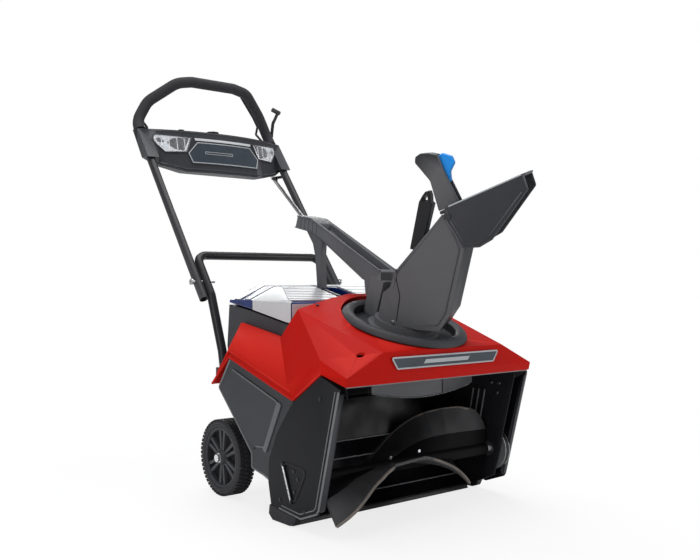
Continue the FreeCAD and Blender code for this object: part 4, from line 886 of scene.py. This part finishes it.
def housing_details():
    """Ribs with painted highlights, seams, and a painted shade over one half of the throat in the rotor
    chamber.
    """
    # The chamber's ribs are painted light grey: painted highlights along them.
    for number, degrees in enumerate((24, 2, -20, -40)):
        turn = math.radians(degrees)
        y = CHAMBER_Y + CHAMBER_RIB_RADIUS * math.cos(turn)
        z = CHAMBER_Z + CHAMBER_RIB_RADIUS * math.sin(turn)
        bead(f"housing_rib_{number}", [at(-268, y, z), at(244, y, z)], 1.6, "machine", "black_plastic",
             PAINTED_HIGHLIGHT_GREY)
    seam = [at(-20, 225.6, 300), at(-20, 213, 234), at(-20, 203, 160)]
    bead("housing_seam", seam, 1.6, "machine", "black_plastic", GLOSS_BLACK)
    for number, x in enumerate((-150, -85, 60, 150)):
        rib = [at(x, 225.6, 306), at(x, 213, 236)]
        bead(f"housing_upright_{number}", rib, 3.0, "machine", "black_plastic", GLOSS_BLACK)
    # A charcoal sheet over one half of the grey throat plate is painted shade, where that half lies in
    # shadow.
    dark = [at(x, 57.6, z) for x, z in [(58, 299), (150, 299), (150, 272), (112, 262), (58, 256)]]
    plate("throat_painted_shade", dark, Vector((0, -0.0022, 0)), "machine", "grey_plastic",
          MATERIALS["charcoal_plastic"])
    # The throat's lower edge is painted light grey: a painted highlight.
    lower_edge = [at(x, 57.4, 252 + 18 * (x / 146) ** 2) for x in range(-146, 147, 12)]
    bead("throat_edge", lower_edge, 1.3, "machine", "grey_plastic", PAINTED_HIGHLIGHT_GREY, corner=1)
    for number, (y, z) in enumerate([(60, 262), (84, 262), (66, 240)]):
        disc(f"plate_rivet_{number}", at(247.4, y, z), Vector((-1, 0, 0)), 4.0, 2.2, "machine",
             "zinc_fasteners")
    # The belt wall's ribs are painted light grey: painted highlights.
    for number, y in enumerate((104, 122, 140)):
        bead(f"belt_wall_rib_{number}", [at(247.5, y, 244), at(247.5, y + 26, 120)], 2.0, "machine",
             "black_plastic", PAINTED_HIGHLIGHT_GREY)


# ---------------------------------------------------------------- stage

FLOOR_REACH = 14.0
FLOOR_DROP = 0.0005
# The paper starts to fade at the first distance from the middle and is plain white at the second.
FADE_BEGINS, FADE_ENDS, FADE_LEAST = 0.55, 1.5, 0.80
SURROUND_STRENGTH = 0.34
LENS = 44.74
SENSOR = 36
HEADING = math.radians(39.42)
SIGHT_RISE = 0.0005
FAR_CLIP = 60
AIM = Vector((0, 0, 0.4))


def floor_paper():
    """White paper that takes the contact shadow and fades to plain white away from the machine."""
    paper = material("floor_paper", (0.93, 0.93, 0.93), rough=0.9, grain=300, bump=0.02, tone=0.005)
    tree = paper.node_tree
    links = tree.links
    place = tree.nodes.new("ShaderNodeTexCoord")
    reach = tree.nodes.new("ShaderNodeVectorMath")
    reach.operation = "LENGTH"
    links.new(place.outputs["Object"], reach.inputs[0])
    fade = tree.nodes.new("ShaderNodeMapRange")
    fade.interpolation_type = "SMOOTHSTEP"
    set_sockets(fade, {"From Min": FADE_BEGINS, "From Max": FADE_ENDS, "To Min": FADE_LEAST, "To Max": 1.0})
    links.new(reach.outputs["Value"], fade.inputs["Value"])
    path = tree.nodes.new("ShaderNodeLightPath")
    seen = tree.nodes.new("ShaderNodeMath")
    seen.operation = "MULTIPLY"
    links.new(fade.outputs["Result"], seen.inputs[0])
    links.new(path.outputs["Is Camera Ray"], seen.inputs[1])
    white = tree.nodes.new("ShaderNodeEmission")
    mix = tree.nodes.new("ShaderNodeMixShader")
    links.new(seen.outputs["Value"], mix.inputs["Fac"])
    links.new(tree.nodes["Principled BSDF"].outputs["BSDF"], mix.inputs[1])
    links.new(white.outputs["Emission"], mix.inputs[2])
    links.new(mix.outputs["Shader"], tree.nodes["Material Output"].inputs["Surface"])
    return paper


def lay_floor():
    mesh = bpy.data.meshes.new("floor")
    corners = [(x * FLOOR_REACH, y * FLOOR_REACH, 0) for x, y in [(-1, -1), (1, -1), (1, 1), (-1, 1)]]
    mesh.from_pydata(corners, [], [(0, 1, 2, 3)])
    floor = bpy.data.objects.new("floor", mesh)
    floor.location.z = -FLOOR_DROP
    bpy.context.collection.objects.link(floor)
    floor.data.materials.append(floor_paper())


def add_lamp(name, place, size, power):
    """A soft rectangular light aimed at the machine."""
    light = bpy.data.lights.new(name, "AREA")
    light.shape = "RECTANGLE"
    light.size, light.size_y = size
    light.energy = power
    holder = bpy.data.objects.new(name, light)
    holder.location = place
    holder.rotation_euler = (AIM - Vector(place)).to_track_quat("-Z", "Y").to_euler()
    bpy.context.collection.objects.link(holder)


def add_surroundings():
    """Plain white behind the machine, and a softer white that lights it."""
    world = bpy.data.worlds.new("surroundings")
    world.use_nodes = True
    tree = world.node_tree
    links = tree.links
    behind = tree.nodes["Background"]
    set_sockets(behind, {"Color": (1, 1, 1, 1), "Strength": 1.0})
    lit = add_node(tree, "ShaderNodeBackground", {"Color": (0.95, 0.97, 1.0, 1),
                                                  "Strength": SURROUND_STRENGTH})
    path = tree.nodes.new("ShaderNodeLightPath")
    mix = tree.nodes.new("ShaderNodeMixShader")
    links.new(path.outputs["Is Camera Ray"], mix.inputs["Fac"])
    links.new(lit.outputs["Background"], mix.inputs[1])
    links.new(behind.outputs["Background"], mix.inputs[2])
    links.new(mix.outputs["Shader"], tree.nodes["World Output"].inputs["Surface"])
    bpy.context.scene.world = world
    bpy.context.scene.view_settings.view_transform = "Standard"


def add_camera():
    camera_data = bpy.data.cameras.new("camera")
    camera_data.lens = LENS
    camera_data.sensor_width = SENSOR
    camera_data.clip_end = FAR_CLIP
    camera = bpy.data.objects.new("camera", camera_data)
    camera.location = at(-1308.9, -1286.3, 501.5)
    look = Vector((math.sin(HEADING), math.cos(HEADING), SIGHT_RISE))
    camera.rotation_euler = look.to_track_quat("-Z", "Y").to_euler()
    bpy.context.collection.objects.link(camera)
    bpy.context.scene.camera = camera


carry_over({"right_tyre", "left_tyre", "right_hub", "left_hub"})
for side in SIDES:
    plate_details(side)
    cover_details(side)
    hood_flange(side)
    wheel(side)
hood_details()
lid_details()
chute_details()
tower_details()
console_details()
housing_details()
rotor_details()
lay_floor()
add_lamp("overhead", (0.1, 0.2, 3.2), (3.0, 2.4), 75)
add_lamp("key", (-3.0, -1.2, 1.7), (0.9, 1.8), 26)
add_lamp("fill", (2.4, -2.8, 1.4), (1.2, 2.0), 24)
add_lamp("rim", (1.6, 3.0, 1.9), (2.4, 1.2), 40)
add_surroundings()
add_camera()
